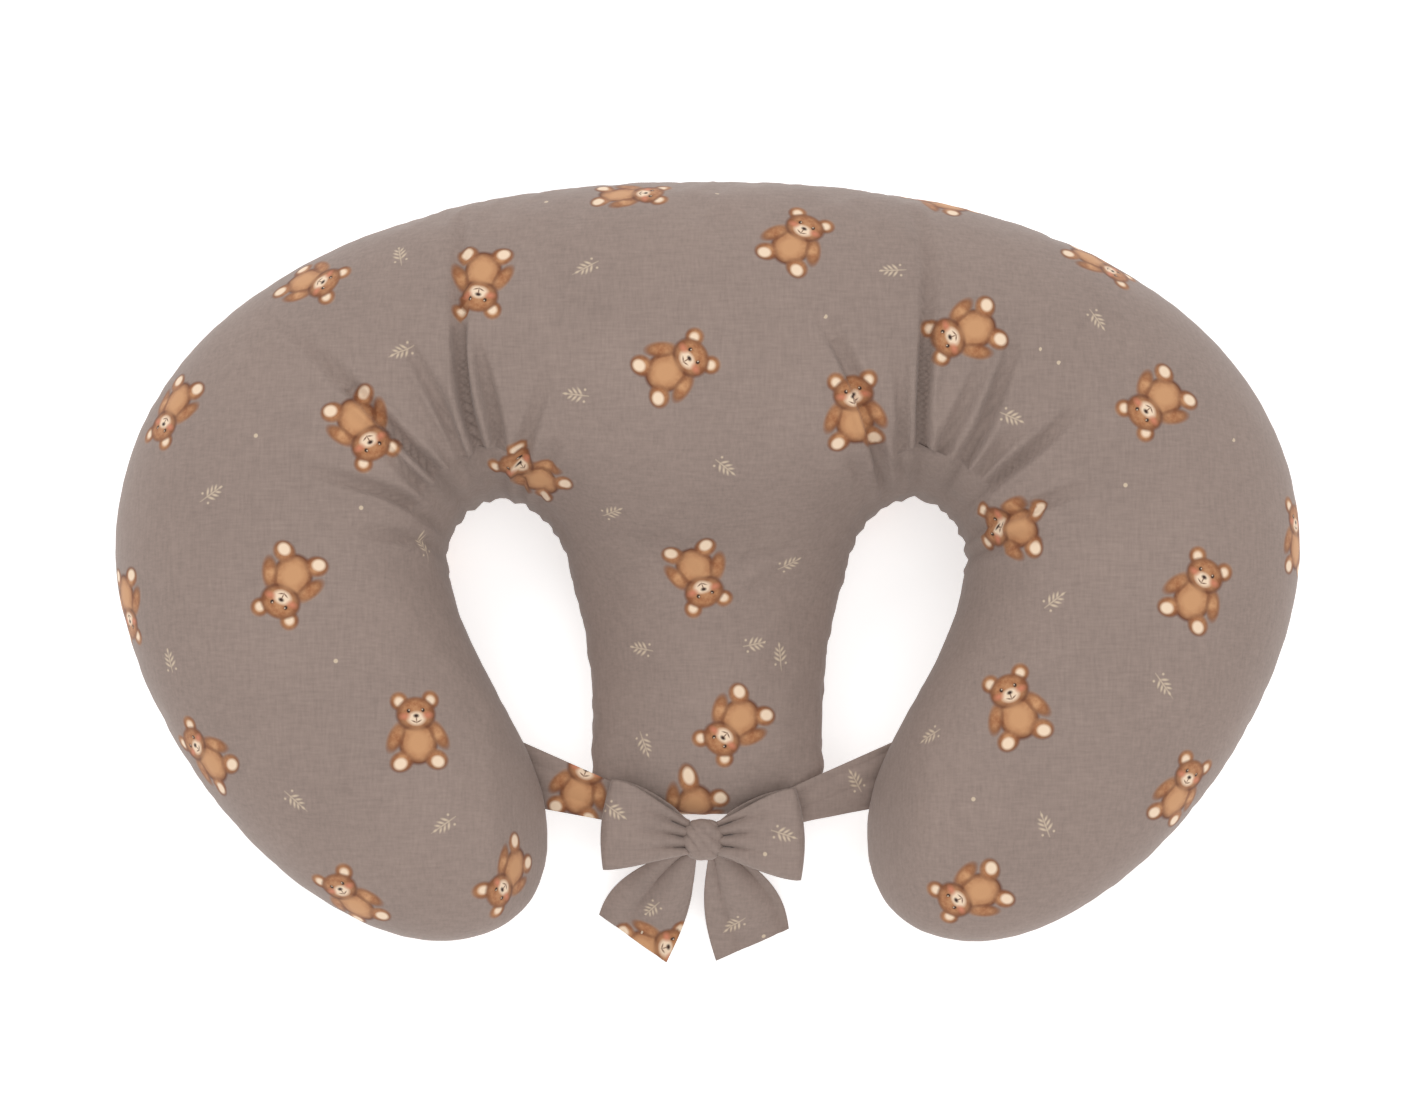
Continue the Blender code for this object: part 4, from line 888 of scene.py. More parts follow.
def loop(side, back, front, name, seed):
    """The ribbon goes out from the knot, folds over and comes back on top of itself."""
    root = KNOT_CENTRE + (side * (KNOT_HALF[0] - LOOP_TUCK), 0, 0.0012)
    steps = np.linspace(0, 1, LOOP_STEPS)
    shares = np.linspace(0, 1, LOOP_COLUMNS)
    opening = LOOP_ROOT_OPENING + LOOP_OPENING * np.sin(math.pi * steps * LOOP_FULLEST)
    columns = []
    for share in shares:
        outer = np.array(back) + (np.array(front) - back) * share
        bow_out = LOOP_BOW_OUT * math.sin(math.pi * share)
        rounded = 1 - 0.55 * abs(2 * share - 1) ** 3
        fold = LOOP_OPENING * LOOP_FOLD_SHARE * rounded
        start_y = root[1] + LOOP_PINCH * (0.5 - share)
        x = root[0] + (outer[0] + side * (bow_out - fold) - root[0]) * steps
        y = start_y + (outer[1] - start_y) * smoothstep(steps, -0.40, 1.02) * (0.82 + 0.18 * steps)
        z = root[2] + LOOP_RISE * steps * (1 + LOOP_TILT * (0.5 - share))
        over = np.array([draped(a, b) for a, b in zip(x, y)])
        z = np.where(over > 0, np.maximum(z, over + 3 * TIE_CLEARANCE + 2 * TIE_THICKNESS), z)
        z = np.convolve(np.pad(z, 4, mode="edge"), np.ones(9) / 9, mode="valid")
        spread = smoothstep(steps, 0.0, 0.25) * (1 - 0.75 * smoothstep(steps, 0.35, 1.0))
        wave = pleats(share + 0.03 * np.sin(4 * steps + seed), LOOP_PLEATS, seed)
        pinched = np.exp(-((steps / 0.34) ** 2)) * smoothstep(steps, -0.1, 0.08)
        lower = np.stack([x, y + 0.0028 * (1 - share) ** 3 * spread, z + 0.0004 * wave], axis=1)
        lift = opening * (0.35 + 0.65 * rounded)
        upper = np.stack([x, y, z + lift + wave * (LOOP_PLEAT_DEPTH * pinched + LOOP_PLEAT_END * spread)], axis=1)
        turns = np.linspace(0, math.pi, LOOP_FOLD_STEPS + 2)[1:-1]
        low, high = lower[-1], upper[-1]
        middle = (low + high) / 2
        turned = [
            middle + np.array([side * fold * math.sin(turn), 0, 0]) - (high - low) / 2 * math.cos(turn)
            for turn in turns
        ]
        columns.append(np.concatenate([lower, turned, upper[::-1]]))
    grid = np.array(columns).transpose(1, 0, 2)
    return ribbon(name, grid, TIE_THICKNESS)


loop_left = loop(-1, (-0.0500, -0.1115), (-0.0545, -0.1580), "loop_left", 0.3)
loop_right = loop(1, (0.0460, -0.1160), (0.0486, -0.1635), "loop_right", 1.1)

# %% [markdown]
# ### The tails
#
# A tail leaves the knot pinched, widens at once and drops to the ground. Its end is cut on a slant, as ribbon ends
# are, so that it frays less. Each column of the grid is one such path. A shallow arch and a few long folds keep
# the cloth off the ground between its edges.

# %% Hang the tails
TAIL_ROWS, TAIL_COLUMNS = 64, 44
TAIL_ROOT = np.array([0.66, -0.62, -0.62])
TAIL_PINCH = 0.0072
TAIL_FLARE, TAIL_OUTER_FLARE = 0.85, 0.55
TAIL_DROOP, TAIL_BULGE = 1.5, 0.0062
TAIL_PLEATS, TAIL_PLEAT_DEPTH = 1.7, 0.0030
TAIL_REST = 0.0005


def tail(side, outer_end, inner_end, name, seed):
    """Narrow at the knot, with long folds, and cut slanting at its end, which rests on the ground."""
    root = KNOT_CENTRE + KNOT_HALF * TAIL_ROOT * (side, 1, 1)
    outer_end, inner_end = np.array(outer_end), np.array(inner_end)
    low = TAIL_REST + TIE_THICKNESS / 2
    t = np.linspace(0, 1, TAIL_ROWS)
    columns = []
    for share in np.linspace(0, 1, TAIL_COLUMNS):
        end = outer_end + (inner_end - outer_end) * share
        start = root[:2] + (side * TAIL_PINCH * (0.5 - share), 0.0)
        belly = 0.0045 * np.sin(math.pi * t) * (2 * share - 1)
        flare = TAIL_OUTER_FLARE + (TAIL_FLARE - TAIL_OUTER_FLARE) * share
        x = start[0] + (end[0] - start[0]) * t ** flare - side * belly
        y = start[1] + (end[1] - start[1]) * t
        bulge = TAIL_BULGE * np.sin(math.pi * t) * math.sin(math.pi * share)
        depth = TAIL_PLEAT_DEPTH * np.sin(math.pi * np.clip(0.08 + 0.92 * t, 0, 1)) ** 0.6
        fold = pleats(share + 0.10 * t * math.sin(seed), TAIL_PLEATS, seed) * depth
        wave = 0.0022 * t ** 2 * (1 + math.sin(2 * math.pi * (1.2 * share) + seed))
        z = low + (root[2] - low) * (1 - t) ** TAIL_DROOP + bulge + fold + wave
        columns.append(np.stack([x, y, np.maximum(z, low + 0.0001)], axis=1))
    return ribbon(name, np.array(columns).transpose(1, 0, 2), TIE_THICKNESS)


tail_left = tail(-1, (-0.0580, -0.1805), (-0.0220, -0.2059), "tail_left", 0.9)
tail_right = tail(1, (0.0434, -0.1880), (0.0045, -0.2050), "tail_right", 2.3)
tie_pieces = [band_left, band_right, knot_piece, loop_left, loop_right, tail_left, tail_right]
print([(piece.name, len(piece.data.polygons)) for piece in tie_pieces])

# %% [markdown]
# ## The zip and the elastic
#
# The zip closes the back seam. Its tapes lie inside the panels, and its coil shows in a narrow window. The tape's
# section is read back from the CAD tape: every point of it has the same distance from the centre of the back's
# arc as the section's own point. A coil is hundreds of equal turns of nylon, so a Geometry Nodes tree places
# one small turn at each of a row of points. The same tree makes the two rows of topstitching.

# %% Helpers for the zip
BACK_CENTRE_Y = -0.414
TAPE_COLUMNS, TAPE_STEP = 9, 0.003
TAPE_THICKNESS = 0.0004


def round_back(node):
    """A swept CAD node's (angle, radius, height) points."""
    points, _ = joined(node)
    x, y = points[:, 0], points[:, 1] - BACK_CENTRE_Y
    return np.column_stack([np.arctan2(x, y), np.hypot(x, y), points[:, 2]])


def on_back(angle, radius, height):
    """Places on the back, from the same angle, radius and height."""
    return np.stack([radius * np.sin(angle), radius * np.cos(angle) + BACK_CENTRE_Y, height + 0 * angle], axis=-1)


def tape(node, name):
    """A zip tape, swept from the section of the CAD tape."""
    polar = round_back(node)
    section = np.unique(np.round(polar[:, 1:], 5), axis=0)
    section = section[np.argsort(section[:, 1])]
    line = (section[0::2] + section[1::2]) / 2
    angles = np.arange(polar[:, 0].min(), polar[:, 0].max(), TAPE_STEP / line[0, 0])
    share = np.linspace(0, len(line) - 1, TAPE_COLUMNS)
    radius, height = (np.interp(share, np.arange(len(line)), line[:, k]) for k in (0, 1))
    angle, radius, height = np.broadcast_arrays(angles[:, None], radius, height)
    return ribbon(name, on_back(angle, radius, height), TAPE_THICKNESS)


# %% A tree that places beads along a row
BEAD_SEGMENTS, BEAD_RINGS = 8, 6


def placed_by_nodes(name, points, along, out, size, material):
    """A small rounded bead at each point, long side along one direction, made by Geometry Nodes and applied."""
    carrier = make_object(name, points, [])
    for label, vectors in (("along", along), ("out", out)):
        attribute = carrier.data.attributes.new(label, "FLOAT_VECTOR", "POINT")
        attribute.data.foreach_set("vector", np.asarray(vectors, float).ravel())
    tree = bpy.data.node_groups.new(f"{name}_beads", "GeometryNodeTree")
    for label, kind in (("Points", "Geometry"), ("Size", "Vector"), ("Finish", "Material")):
        tree.interface.new_socket(label, in_out="INPUT", socket_type=f"NodeSocket{kind}")
    tree.interface.new_socket("Beads", in_out="OUTPUT", socket_type="NodeSocketGeometry")
    given, made = tree.nodes.new("NodeGroupInput"), tree.nodes.new("NodeGroupOutput")
    turned = None
    for label, axis in (("along", "X"), ("out", "Z")):
        named = tree.nodes.new("GeometryNodeInputNamedAttribute")
        named.data_type = "FLOAT_VECTOR"
        named.inputs["Name"].default_value = label
        align = tree.nodes.new("FunctionNodeAlignRotationToVector")
        align.axis = axis
        if turned:
            align.pivot_axis = "X"
            tree.links.new(turned, align.inputs["Rotation"])
        tree.links.new(named.outputs["Attribute"], align.inputs["Vector"])
        turned = align.outputs["Rotation"]
    bead = tree.nodes.new("GeometryNodeMeshUVSphere")
    bead.inputs["Segments"].default_value, bead.inputs["Rings"].default_value = BEAD_SEGMENTS, BEAD_RINGS
    bead.inputs["Radius"].default_value = 0.5
    to_points, place = tree.nodes.new("GeometryNodeMeshToPoints"), tree.nodes.new("GeometryNodeInstanceOnPoints")
    smooth, realize = tree.nodes.new("GeometryNodeSetShadeSmooth"), tree.nodes.new("GeometryNodeRealizeInstances")
    finish = tree.nodes.new("GeometryNodeSetMaterial")
    for start, end in (
        (given.outputs["Points"], to_points.inputs["Mesh"]), (to_points.outputs["Points"], place.inputs["Points"]),
        (bead.outputs["Mesh"], smooth.inputs["Geometry"]), (smooth.outputs["Geometry"], place.inputs["Instance"]),
        (turned, place.inputs["Rotation"]), (given.outputs["Size"], place.inputs["Scale"]),
        (place.outputs["Instances"], realize.inputs["Geometry"]),
        (realize.outputs["Geometry"], finish.inputs["Geometry"]), (given.outputs["Finish"], finish.inputs["Material"]),
        (finish.outputs["Geometry"], made.inputs["Beads"]),
    ):
        tree.links.new(start, end)
    modifier = carrier.modifiers.new("Beads", "NODES")
    modifier.node_group = tree
    sockets = {item.name: item.identifier for item in tree.interface.items_tree if item.in_out == "INPUT"}
    modifier[sockets["Size"]] = size
    modifier[sockets["Finish"]] = material
    return applied(carrier)


# %% [markdown]
# ## Materials
#
# The print is drawn by the shader. Each motif is a heap of soft ellipses, laid one over the other as a painter
# would lay washes. The motifs are scattered on the cloth as it lies, turned every way, so that there is no top
# to the pattern. A motif reads a small map of its own, and the cloth between the motifs has none.
#
# Percale is a fine plain weave of slightly uneven yarns: faint lighter and darker streaks along both yarns, and
# a little sheen at a grazing angle.


# %% Shader helpers
def linear(red, green, blue):
    """A colour given as 0 to 255 in sRGB, for a shader."""
    return (*[(c / 255 / 12.92) if c <= 10 else ((c / 255 + 0.055) / 1.055) ** 2.4 for c in (red, green, blue)], 1.0)


def put(tree, kind, inputs=(), output=0, **settings):
    """A new node. Its inputs are values or other nodes' outputs, and it gives back one of its own outputs."""
    node = tree.nodes.new(kind)
    for name, value in settings.items():
        setattr(node, name, value)
    for socket, value in dict(inputs).items():
        if isinstance(value, bpy.types.NodeSocket):
            tree.links.new(value, node.inputs[socket])
        else:
            node.inputs[socket].default_value = value
    return node.outputs[output]


def sums(tree, operation, a, b):
    """A Math node on two values."""
    return put(tree, "ShaderNodeMath", {0: a, 1: b}, operation=operation)


def scaled(tree, value, factor, added):
    """A value times a factor, plus something."""
    return put(tree, "ShaderNodeMath", {0: value, 1: factor, 2: added}, operation="MULTIPLY_ADD")


def paint(tree, below, above, share):
    """One colour laid over another."""
    return put(tree, "ShaderNodeMix", {0: share, 6: below, 7: above}, output=2, data_type="RGBA")


def speckle(tree, place, scale, stretch=(1, 1, 1), detail=3.0):
    """Noise from 0 to 1. A stretch above 1 makes it finer along that axis."""
    moved = put(tree, "ShaderNodeMapping", {"Vector": place, "Scale": stretch})
    return put(tree, "ShaderNodeTexNoise", {"Vector": moved, "Scale": scale, "Detail": detail, "Roughness": 0.6})


def between(tree, value, low, high, to_low=0.0, to_high=1.0):
    """A value moved from one range to another, and kept inside it."""
    return put(
        tree, "ShaderNodeMapRange",
        {"Value": value, "From Min": low, "From Max": high, "To Min": to_low, "To Max": to_high},
    )


def new_material(name, roughness, sheen=0.0, coat=0.0):
    """A material, its tree, its shader node and its Object coordinates."""
    made = bpy.data.materials.new(name)
    made.use_nodes = True
    tree = made.node_tree
    shader = tree.nodes["Principled BSDF"]
    settings = {"Roughness": roughness, "Sheen Weight": sheen, "Sheen Roughness": 0.5, "Coat Weight": coat}
    for socket, value in settings.items():
        shader.inputs[socket].default_value = value
    return made, tree, shader, put(tree, "ShaderNodeTexCoord", output="Object")


def bumped(tree, shader, height, distance, strength):
    """Gives a shader a bump from a height."""
    tree.links.new(
        put(tree, "ShaderNodeBump", {"Height": height, "Distance": distance, "Strength": strength}),
        shader.inputs["Normal"],
    )


# %% Shader helpers for cloth and print
YARNS = 700


def weave_tone(tree, place):
    """Uneven yarns both ways, from about -1 to 1."""
    warp = speckle(tree, place, YARNS, (0.14, 1.0, 0.7), 2.0)
    weft = speckle(tree, place, YARNS, (1.0, 0.14, 0.7), 2.0)
    cloud = speckle(tree, place, 14, detail=2.0)
    yarns = sums(tree, "SUBTRACT", sums(tree, "ADD", warp, weft), 1.0)
    return sums(tree, "ADD", sums(tree, "MULTIPLY", yarns, 1.6), sums(tree, "SUBTRACT", cloud, 0.5)), yarns


def spot(tree, place, centre, radii, turn=0.0, softness=0.035):
    """1 inside an ellipse and 0 outside it."""
    moved = put(
        tree, "ShaderNodeMapping",
        {"Vector": place, "Location": (*centre, 0), "Rotation": (0, 0, math.radians(turn)), "Scale": (*radii, 1)},
        vector_type="TEXTURE",
    )
    away = put(tree, "ShaderNodeVectorMath", {0: moved}, output="Value", operation="LENGTH")
    soft = softness / min(radii)
    return between(tree, away, 1 - soft, 1 + soft, 1.0, 0.0)


# %% [markdown]
# ### The motifs
#
# The print has teddies, leaf sprigs and dots. A motif that is the same on both sides is drawn as one half: its map
# is folded over first, so each ellipse makes a pair. Ears, body, arms, legs and head each get a dark ellipse and
# a lighter one inside it, which gives the soft brown outline of a watercolour print.

# %% Draw the motifs
FUR, FUR_LIGHT, FUR_DARK = (158, 100, 62), (204, 152, 108), (100, 52, 28)
CREAM, INK, BLUSH, SPRIG_COLOUR = (242, 216, 188), (48, 28, 20), (206, 128, 98), (206, 186, 162)
EAR = (0.37, 0.74)
BODY_PARTS = (
    (EAR, (0.20, 0.20), 0), ((0.0, -0.20), (0.45, 0.50), 0), ((0.50, -0.06), (0.16, 0.34), 28),
    ((0.40, -0.62), (0.26, 0.22), -20), ((0.0, 0.44), (0.46, 0.38), 0),
)
DETAILS = (
    ((0.0, -0.22), (0.26, 0.32), 0, FUR_LIGHT, 0.10), ((0.43, -0.66), (0.145, 0.125), -20, CREAM, 0.03),
    ((0.0, 0.34), (0.20, 0.145), 0, CREAM, 0.04), ((0.17, 0.52), (0.040, 0.046), 0, INK, 0.015),
    ((0.155, 0.535), (0.012, 0.014), 0, CREAM, 0.01), ((0.0, 0.40), (0.062, 0.042), 0, INK, 0.02),
    ((0.0, 0.32), (0.012, 0.060), 0, FUR_DARK, 0.012), ((0.055, 0.27), (0.055, 0.014), 25, FUR_DARK, 0.012),
    ((0.27, 0.40), (0.085, 0.055), 0, BLUSH, 0.05),
)
LEAVES = (
    ((0.0, -0.10), (0.040, 0.80), 0), ((0.29, -0.30), (0.27, 0.085), 38), ((0.27, 0.08), (0.25, 0.080), 42),
    ((0.21, 0.42), (0.20, 0.075), 50), ((0.0, 0.78), (0.08, 0.15), 0), ((0.46, -0.72), (0.09, 0.09), 0),
)


def folded_over(tree, print_place):
    """The motif's map with its left half laid on its right half."""
    across, up = (put(tree, "ShaderNodeSeparateXYZ", {0: print_place}, output=k) for k in (0, 1))
    distance = put(tree, "ShaderNodeMath", {0: across}, operation="ABSOLUTE")
    return put(tree, "ShaderNodeCombineXYZ", {0: distance, 1: up})


def draw_teddy(tree, print_place, cloth):
    """A sitting teddy seen from the front. It is the same on both sides, so half of each pair is drawn."""
    mirrored = folded_over(tree, print_place)
    wash = between(tree, speckle(tree, print_place, 3.2, detail=4.0), 0.35, 0.7)
    fur = paint(tree, linear(*FUR), linear(*FUR_LIGHT), wash)
    colour = cloth
    for centre, radii, turn in BODY_PARTS:
        edge = spot(tree, mirrored, centre, radii, turn)
        inner = spot(tree, mirrored, (centre[0], centre[1] + 0.02), (radii[0] * 0.84, radii[1] * 0.84), turn, 0.07)
        colour = paint(tree, paint(tree, colour, linear(*FUR_DARK), edge), fur, inner)
        if centre == EAR:
            colour = paint(tree, colour, linear(*CREAM), spot(tree, mirrored, centre, (0.10, 0.10)))
    for centre, radii, turn, tone, softness in DETAILS:
        colour = paint(tree, colour, linear(*tone), spot(tree, mirrored, centre, radii, turn, softness))
    return colour


def draw_sprig(tree, print_place, cloth):
    """A stem with leaves in pairs and two berries."""
    mirrored = folded_over(tree, print_place)
    colour = cloth
    for centre, radii, turn in LEAVES:
        colour = paint(tree, colour, linear(*SPRIG_COLOUR), spot(tree, mirrored, centre, radii, turn, 0.05))
    return colour


def draw_dot(tree, print_place, cloth):
    """A plain dot."""
    return paint(tree, cloth, linear(*SPRIG_COLOUR), spot(tree, print_place, (0, 0), (0.5, 0.5), 0, 0.1))


# %% Make the printed cotton
CLOTH_COLOUR = (149, 131, 122)


def printed_cotton():
    """The woven ground, with whichever motif a face is marked for."""
    made, tree, shader, place = new_material("printed_cotton", 0.88, sheen=0.12)
    tone, yarns = weave_tone(tree, place)
    print_place = put(tree, "ShaderNodeUVMap", uv_map="print")
    kind = put(tree, "ShaderNodeAttribute", output="Fac", attribute_name="motif")
    cloth = put(
        tree, "ShaderNodeHueSaturation",
        {"Color": linear(*CLOTH_COLOUR), "Value": scaled(tree, tone, 0.20, 1.0)},
    )
    colour = cloth
    for number, draw in enumerate((draw_teddy, draw_sprig, draw_dot), start=1):
        chosen = put(tree, "ShaderNodeMath", {0: kind, 1: float(number), 2: 0.4}, operation="COMPARE")
        colour = paint(tree, colour, draw(tree, print_place, cloth), chosen)
    tree.links.new(colour, shader.inputs["Base Color"])
    bumped(tree, shader, yarns, 0.00012, 0.5)
    return made


cotton = printed_cotton()
print(len(cotton.node_tree.nodes), "nodes draw the printed cotton")


# %% [markdown]
# ### The plain materials
#
# The other cloths are one shade each, told apart by how coarse, ribbed and glossy they are. The hard pieces are
# nylon and painted zinc. Nothing handled every day is evenly glossy, so both get faint speckles.

# %% Make the plain materials
def woven(name, colour, roughness, spread, ribs=None, sheen=0.1):
    """A plain woven or knitted material in one shade, with its yarns and ribs."""
    made, tree, shader, place = new_material(name, roughness, sheen)
    tone, yarns = weave_tone(tree, place)
    shade = put(tree, "ShaderNodeHueSaturation", {"Color": linear(*colour), "Value": scaled(tree, tone, spread, 1.0)})
    tree.links.new(shade, shader.inputs["Base Color"])
    height = yarns
    if ribs:
        wave = put(
            tree, "ShaderNodeTexWave", {"Vector": place, "Scale": ribs, "Distortion": 0.4},
            output="Fac", bands_direction="DIAGONAL",
        )
        height = sums(tree, "ADD", wave, sums(tree, "MULTIPLY", yarns, 0.4))
    bumped(tree, shader, height, 0.00025, 0.6)
    return made


def speckled(name, colour, roughness, coat, scale):
    """A hard finish with slight unevenness in its shade and gloss."""
    made, tree, shader, place = new_material(name, roughness, coat=coat)
    uneven = speckle(tree, place, scale)
    value = between(tree, uneven, 0.3, 0.7, 0.93, 1.06)
    shade = put(tree, "ShaderNodeHueSaturation", {"Color": linear(*colour), "Value": value})
    gloss = between(tree, speckle(tree, place, scale / 4), 0.3, 0.7, roughness - 0.06, roughness + 0.10)
    tree.links.new(shade, shader.inputs["Base Color"])
    tree.links.new(gloss, shader.inputs["Roughness"])
    bumped(tree, shader, uneven, 0.00002, 0.4)
    return made


polycotton = woven("white_polycotton", (232, 230, 224), 0.9, 0.05)
fibre = woven("polyester_fibre", (240, 240, 238), 0.95, 0.10, sheen=0.3)
elastic_finish = woven("woven_elastic", (228, 226, 220), 0.8, 0.06, ribs=420)
tape_finish = woven("zip_tape", (142, 124, 115), 0.85, 0.12, ribs=650)
nylon = speckled("nylon_coil", (140, 122, 113), 0.38, coat=0.15, scale=900)
zinc = speckled("enamelled_zinc", (146, 129, 120), 0.34, coat=0.35, scale=1400)
thread_finish = woven("sewing_thread", (138, 120, 111), 0.75, 0.10)
print(len(bpy.data.materials), "materials so far")

# %% [markdown]
# ## Making the zip and the elastic
#
# The stops, the slider and the pull are small castings and clips. The CAD has their shape already, with knife-sharp
# edges, so each gets a copy with a narrow bevel. The teeth of the two coils mesh, so one row sits half a pitch
# along from the other.

# %% Make the two tapes
tapes = {side: tape(f"zip_tape_{side}", f"tape_{side}") for side in ("upper", "lower")}

# %% Make the two coils
TOOTH_PITCH, TOOTH_SIZE, TOOTH_OVERLAP = 0.00150, (0.00285, 0.00085, 0.0017), 0.0004


def coil(side, shift):
    """One row of nylon turns, each lying across the gap towards the other row."""
    polar = round_back(f"zip_coil_{side}")
    section = np.unique(np.round(polar[:, 1:], 5), axis=0)
    radius, height = section.mean(axis=0)
    angles = np.arange(polar[:, 0].min() + shift / radius, polar[:, 0].max(), TOOTH_PITCH / radius)
    other_section = round_back(f"zip_coil_{'lower' if side == 'upper' else 'upper'}")[:, 1:].mean(axis=0)
    towards = other_section - (radius, height)
    towards = towards / np.linalg.norm(towards)
    radius, height = np.array([radius, height]) + towards * TOOTH_OVERLAP
    square = (abs(towards[1]), -abs(towards[0]) * np.sign(towards[0] * towards[1]))
    across, out = (on_back(angles, *way) - (0, BACK_CENTRE_Y, 0) for way in (towards, square))
    return placed_by_nodes(f"coil_{side}", on_back(angles, radius, height), across, out, TOOTH_SIZE, nylon)


coils = {"upper": coil("upper", 0.0), "lower": coil("lower", TOOTH_PITCH / 2)}

# %% Round the edges of the metal pieces
SOFT_EDGE = 0.00018
METAL_NODES = {
    "zip_top_stop_upper": "cushion", "zip_top_stop_lower": "cushion", "zip_bottom_stop": "cushion",
    "zip_slider": "slider", "zip_pull": "pull",
}


def softened(node, name, width):
    """A copy of a hard CAD node with its edges rounded."""
    points, faces = joined(node)
    obj = make_object(name, points, faces)
    for polygon in obj.data.polygons:
        polygon.use_smooth = False
    bevel = obj.modifiers.new("Bevel", "BEVEL")
    bevel.width, bevel.segments, bevel.limit_method, bevel.angle_limit = width, 2, "ANGLE", math.radians(32)
    applied(obj).data.materials.append(zinc)
    return obj


metal = {node: softened(node, node.replace("zip_", "metal_"), SOFT_EDGE) for node in METAL_NODES}

# %% Sew the zip in
STITCH_PITCH, STITCH_SIZE = 0.0030, (0.0023, 0.00055, 0.0005)
STITCH_FROM_EDGE, STITCH_LIFT = 0.0030, 0.0001


def stitching(name, way):
    """A row of stitches beside the zip's window."""
    near = np.flatnonzero(np.abs(back_arc) < ZIP_HALF_LENGTH)
    near = near[np.argsort(back_arc[near])]
    line = beside_seam(surface, way, half_gap + STITCH_FROM_EDGE)[near]
    out = normals[ring_under(SEAM_RING + 2 * way)[near]]
    along = np.concatenate([[0], np.cumsum(np.linalg.norm(np.diff(line, axis=0), axis=1))])
    at = np.arange(0, along[-1], STITCH_PITCH)
    places, outs = (np.stack([np.interp(at, along, values[:, k]) for k in range(3)], axis=1) for values in (line, out))
    outs = outs / np.linalg.norm(outs, axis=1)[:, None]
    lifted = places + outs * STITCH_LIFT
    return placed_by_nodes(name, lifted, np.gradient(places, axis=0), outs, STITCH_SIZE, thread_finish)


stitches = [stitching("stitches_upper", -1), stitching("stitches_lower", 1)]


# %% Sew in the elastics
ELASTIC_COLUMNS, ELASTIC_REACH = 7, 0.046
ELASTIC_DEPTH, ELASTIC_THICKNESS = 0.0013, 0.0008


def elastic(side, name):
    """A strip inside the cover at a leg opening's top, just above the seam."""
    chosen = np.flatnonzero((outline[:, 0] * side > 0) & (from_hole[:edge_count] < ELASTIC_REACH))
    gap = int(np.argmax(np.diff(chosen))) + 1 if np.diff(chosen).max() > 1 else 0
    chosen = np.roll(chosen, -gap)
    share = np.linspace(0, 1, ELASTIC_COLUMNS)[None, :, None]
    rows = [ring_under(ring)[chosen] for ring in (SEAM_RING - 1, SEAM_RING - 3)]
    (low, high), (low_out, high_out) = ([values[row][:, None] for row in rows] for values in (surface, normals))
    depth = ELASTIC_DEPTH + ELASTIC_THICKNESS / 2
    grid = low + (high - low) * share - (low_out + (high_out - low_out) * share) * depth
    return ribbon(name, grid, ELASTIC_THICKNESS)


elastics = {"left": elastic(-1, "elastic_left"), "right": elastic(1, "elastic_right")}
small_pieces = [*tapes.values(), *coils.values(), *stitches, *elastics.values()]
print([(piece.name, len(piece.data.polygons)) for piece in small_pieces])

# %% [markdown]
# ## Printing the cloth
#
# A motif is put on the cloth where a ray from above meets it. The faces around that place take a flat map square
# to the cloth there, turned the motif's way, and are marked with the motif's kind. Where two motifs would meet,
# each face goes to the nearer one. The underside gets a scatter of its own.

# %% Scatter the motifs
TEDDY_SIZE, SPRIG_SIZE, DOT_SIZE = 0.0225, 0.0066, 0.0022
TEDDIES = (
    (-0.206, 0.145, -35), (-0.116, 0.141, -95), (-0.041, 0.191, -10), (0.045, 0.161, 60), (0.123, 0.191, 100),
    (0.204, 0.157, -40), (-0.277, 0.078, -120), (-0.176, 0.064, -60), (-0.017, 0.093, 30), (0.075, 0.070, 95),
    (0.132, 0.113, -160), (0.230, 0.078, -140), (-0.091, 0.042, 115), (-0.301, -0.022, -100), (-0.212, -0.016, -115),
    (-0.005, -0.006, -75), (0.154, 0.014, 180), (0.248, -0.020, 60), (0.306, 0.012, 90), (0.014, -0.083, -130),
    (-0.147, -0.091, 95), (-0.257, -0.102, 150), (0.156, -0.079, 110), (0.242, -0.120, 75), (-0.183, -0.175, 100),
    (-0.101, -0.162, -150), (0.135, -0.172, -150),
)
TIE_TEDDIES = {
    "band_left": (-0.067, -0.114, 70), "loop_left": (-0.0560, -0.150, 190), "tail_left": (-0.030, -0.199, 10),
}
TONGUE_TEDDY = (-0.009, -0.1265, -100)
SPRIGS = (
    (-0.159, 0.157), (-0.156, 0.103), (-0.062, 0.146), (-0.067, 0.080), (0.009, 0.044), (-0.049, 0.024),
    (-0.252, 0.031), (-0.275, -0.053), (-0.209, -0.125), (-0.134, -0.137), (-0.147, 0.007), (0.094, 0.145),
    (0.176, -0.024), (0.155, 0.069), (0.200, 0.121), (0.231, -0.067), (0.171, -0.137), (0.114, -0.091),
    (-0.033, -0.093), (-0.035, -0.043), (0.043, 0.0), (0.025, -0.041), (0.038, -0.046), (-0.048, -0.128),
    (0.040, -0.140), (-0.030, -0.178), (0.014, -0.186), (0.078, -0.111),
)
DOTS = (
    (-0.084, 0.187), (0.005, 0.190), (-0.176, 0.023), (-0.188, -0.055), (0.179, 0.097), (0.212, 0.034),
    (0.135, -0.124), (0.170, 0.104), (-0.090, -0.020), (0.060, 0.120), (-0.230, 0.060), (0.270, 0.060),
    (0.030, -0.150), (-0.035, -0.190), (0.030, -0.192),
)


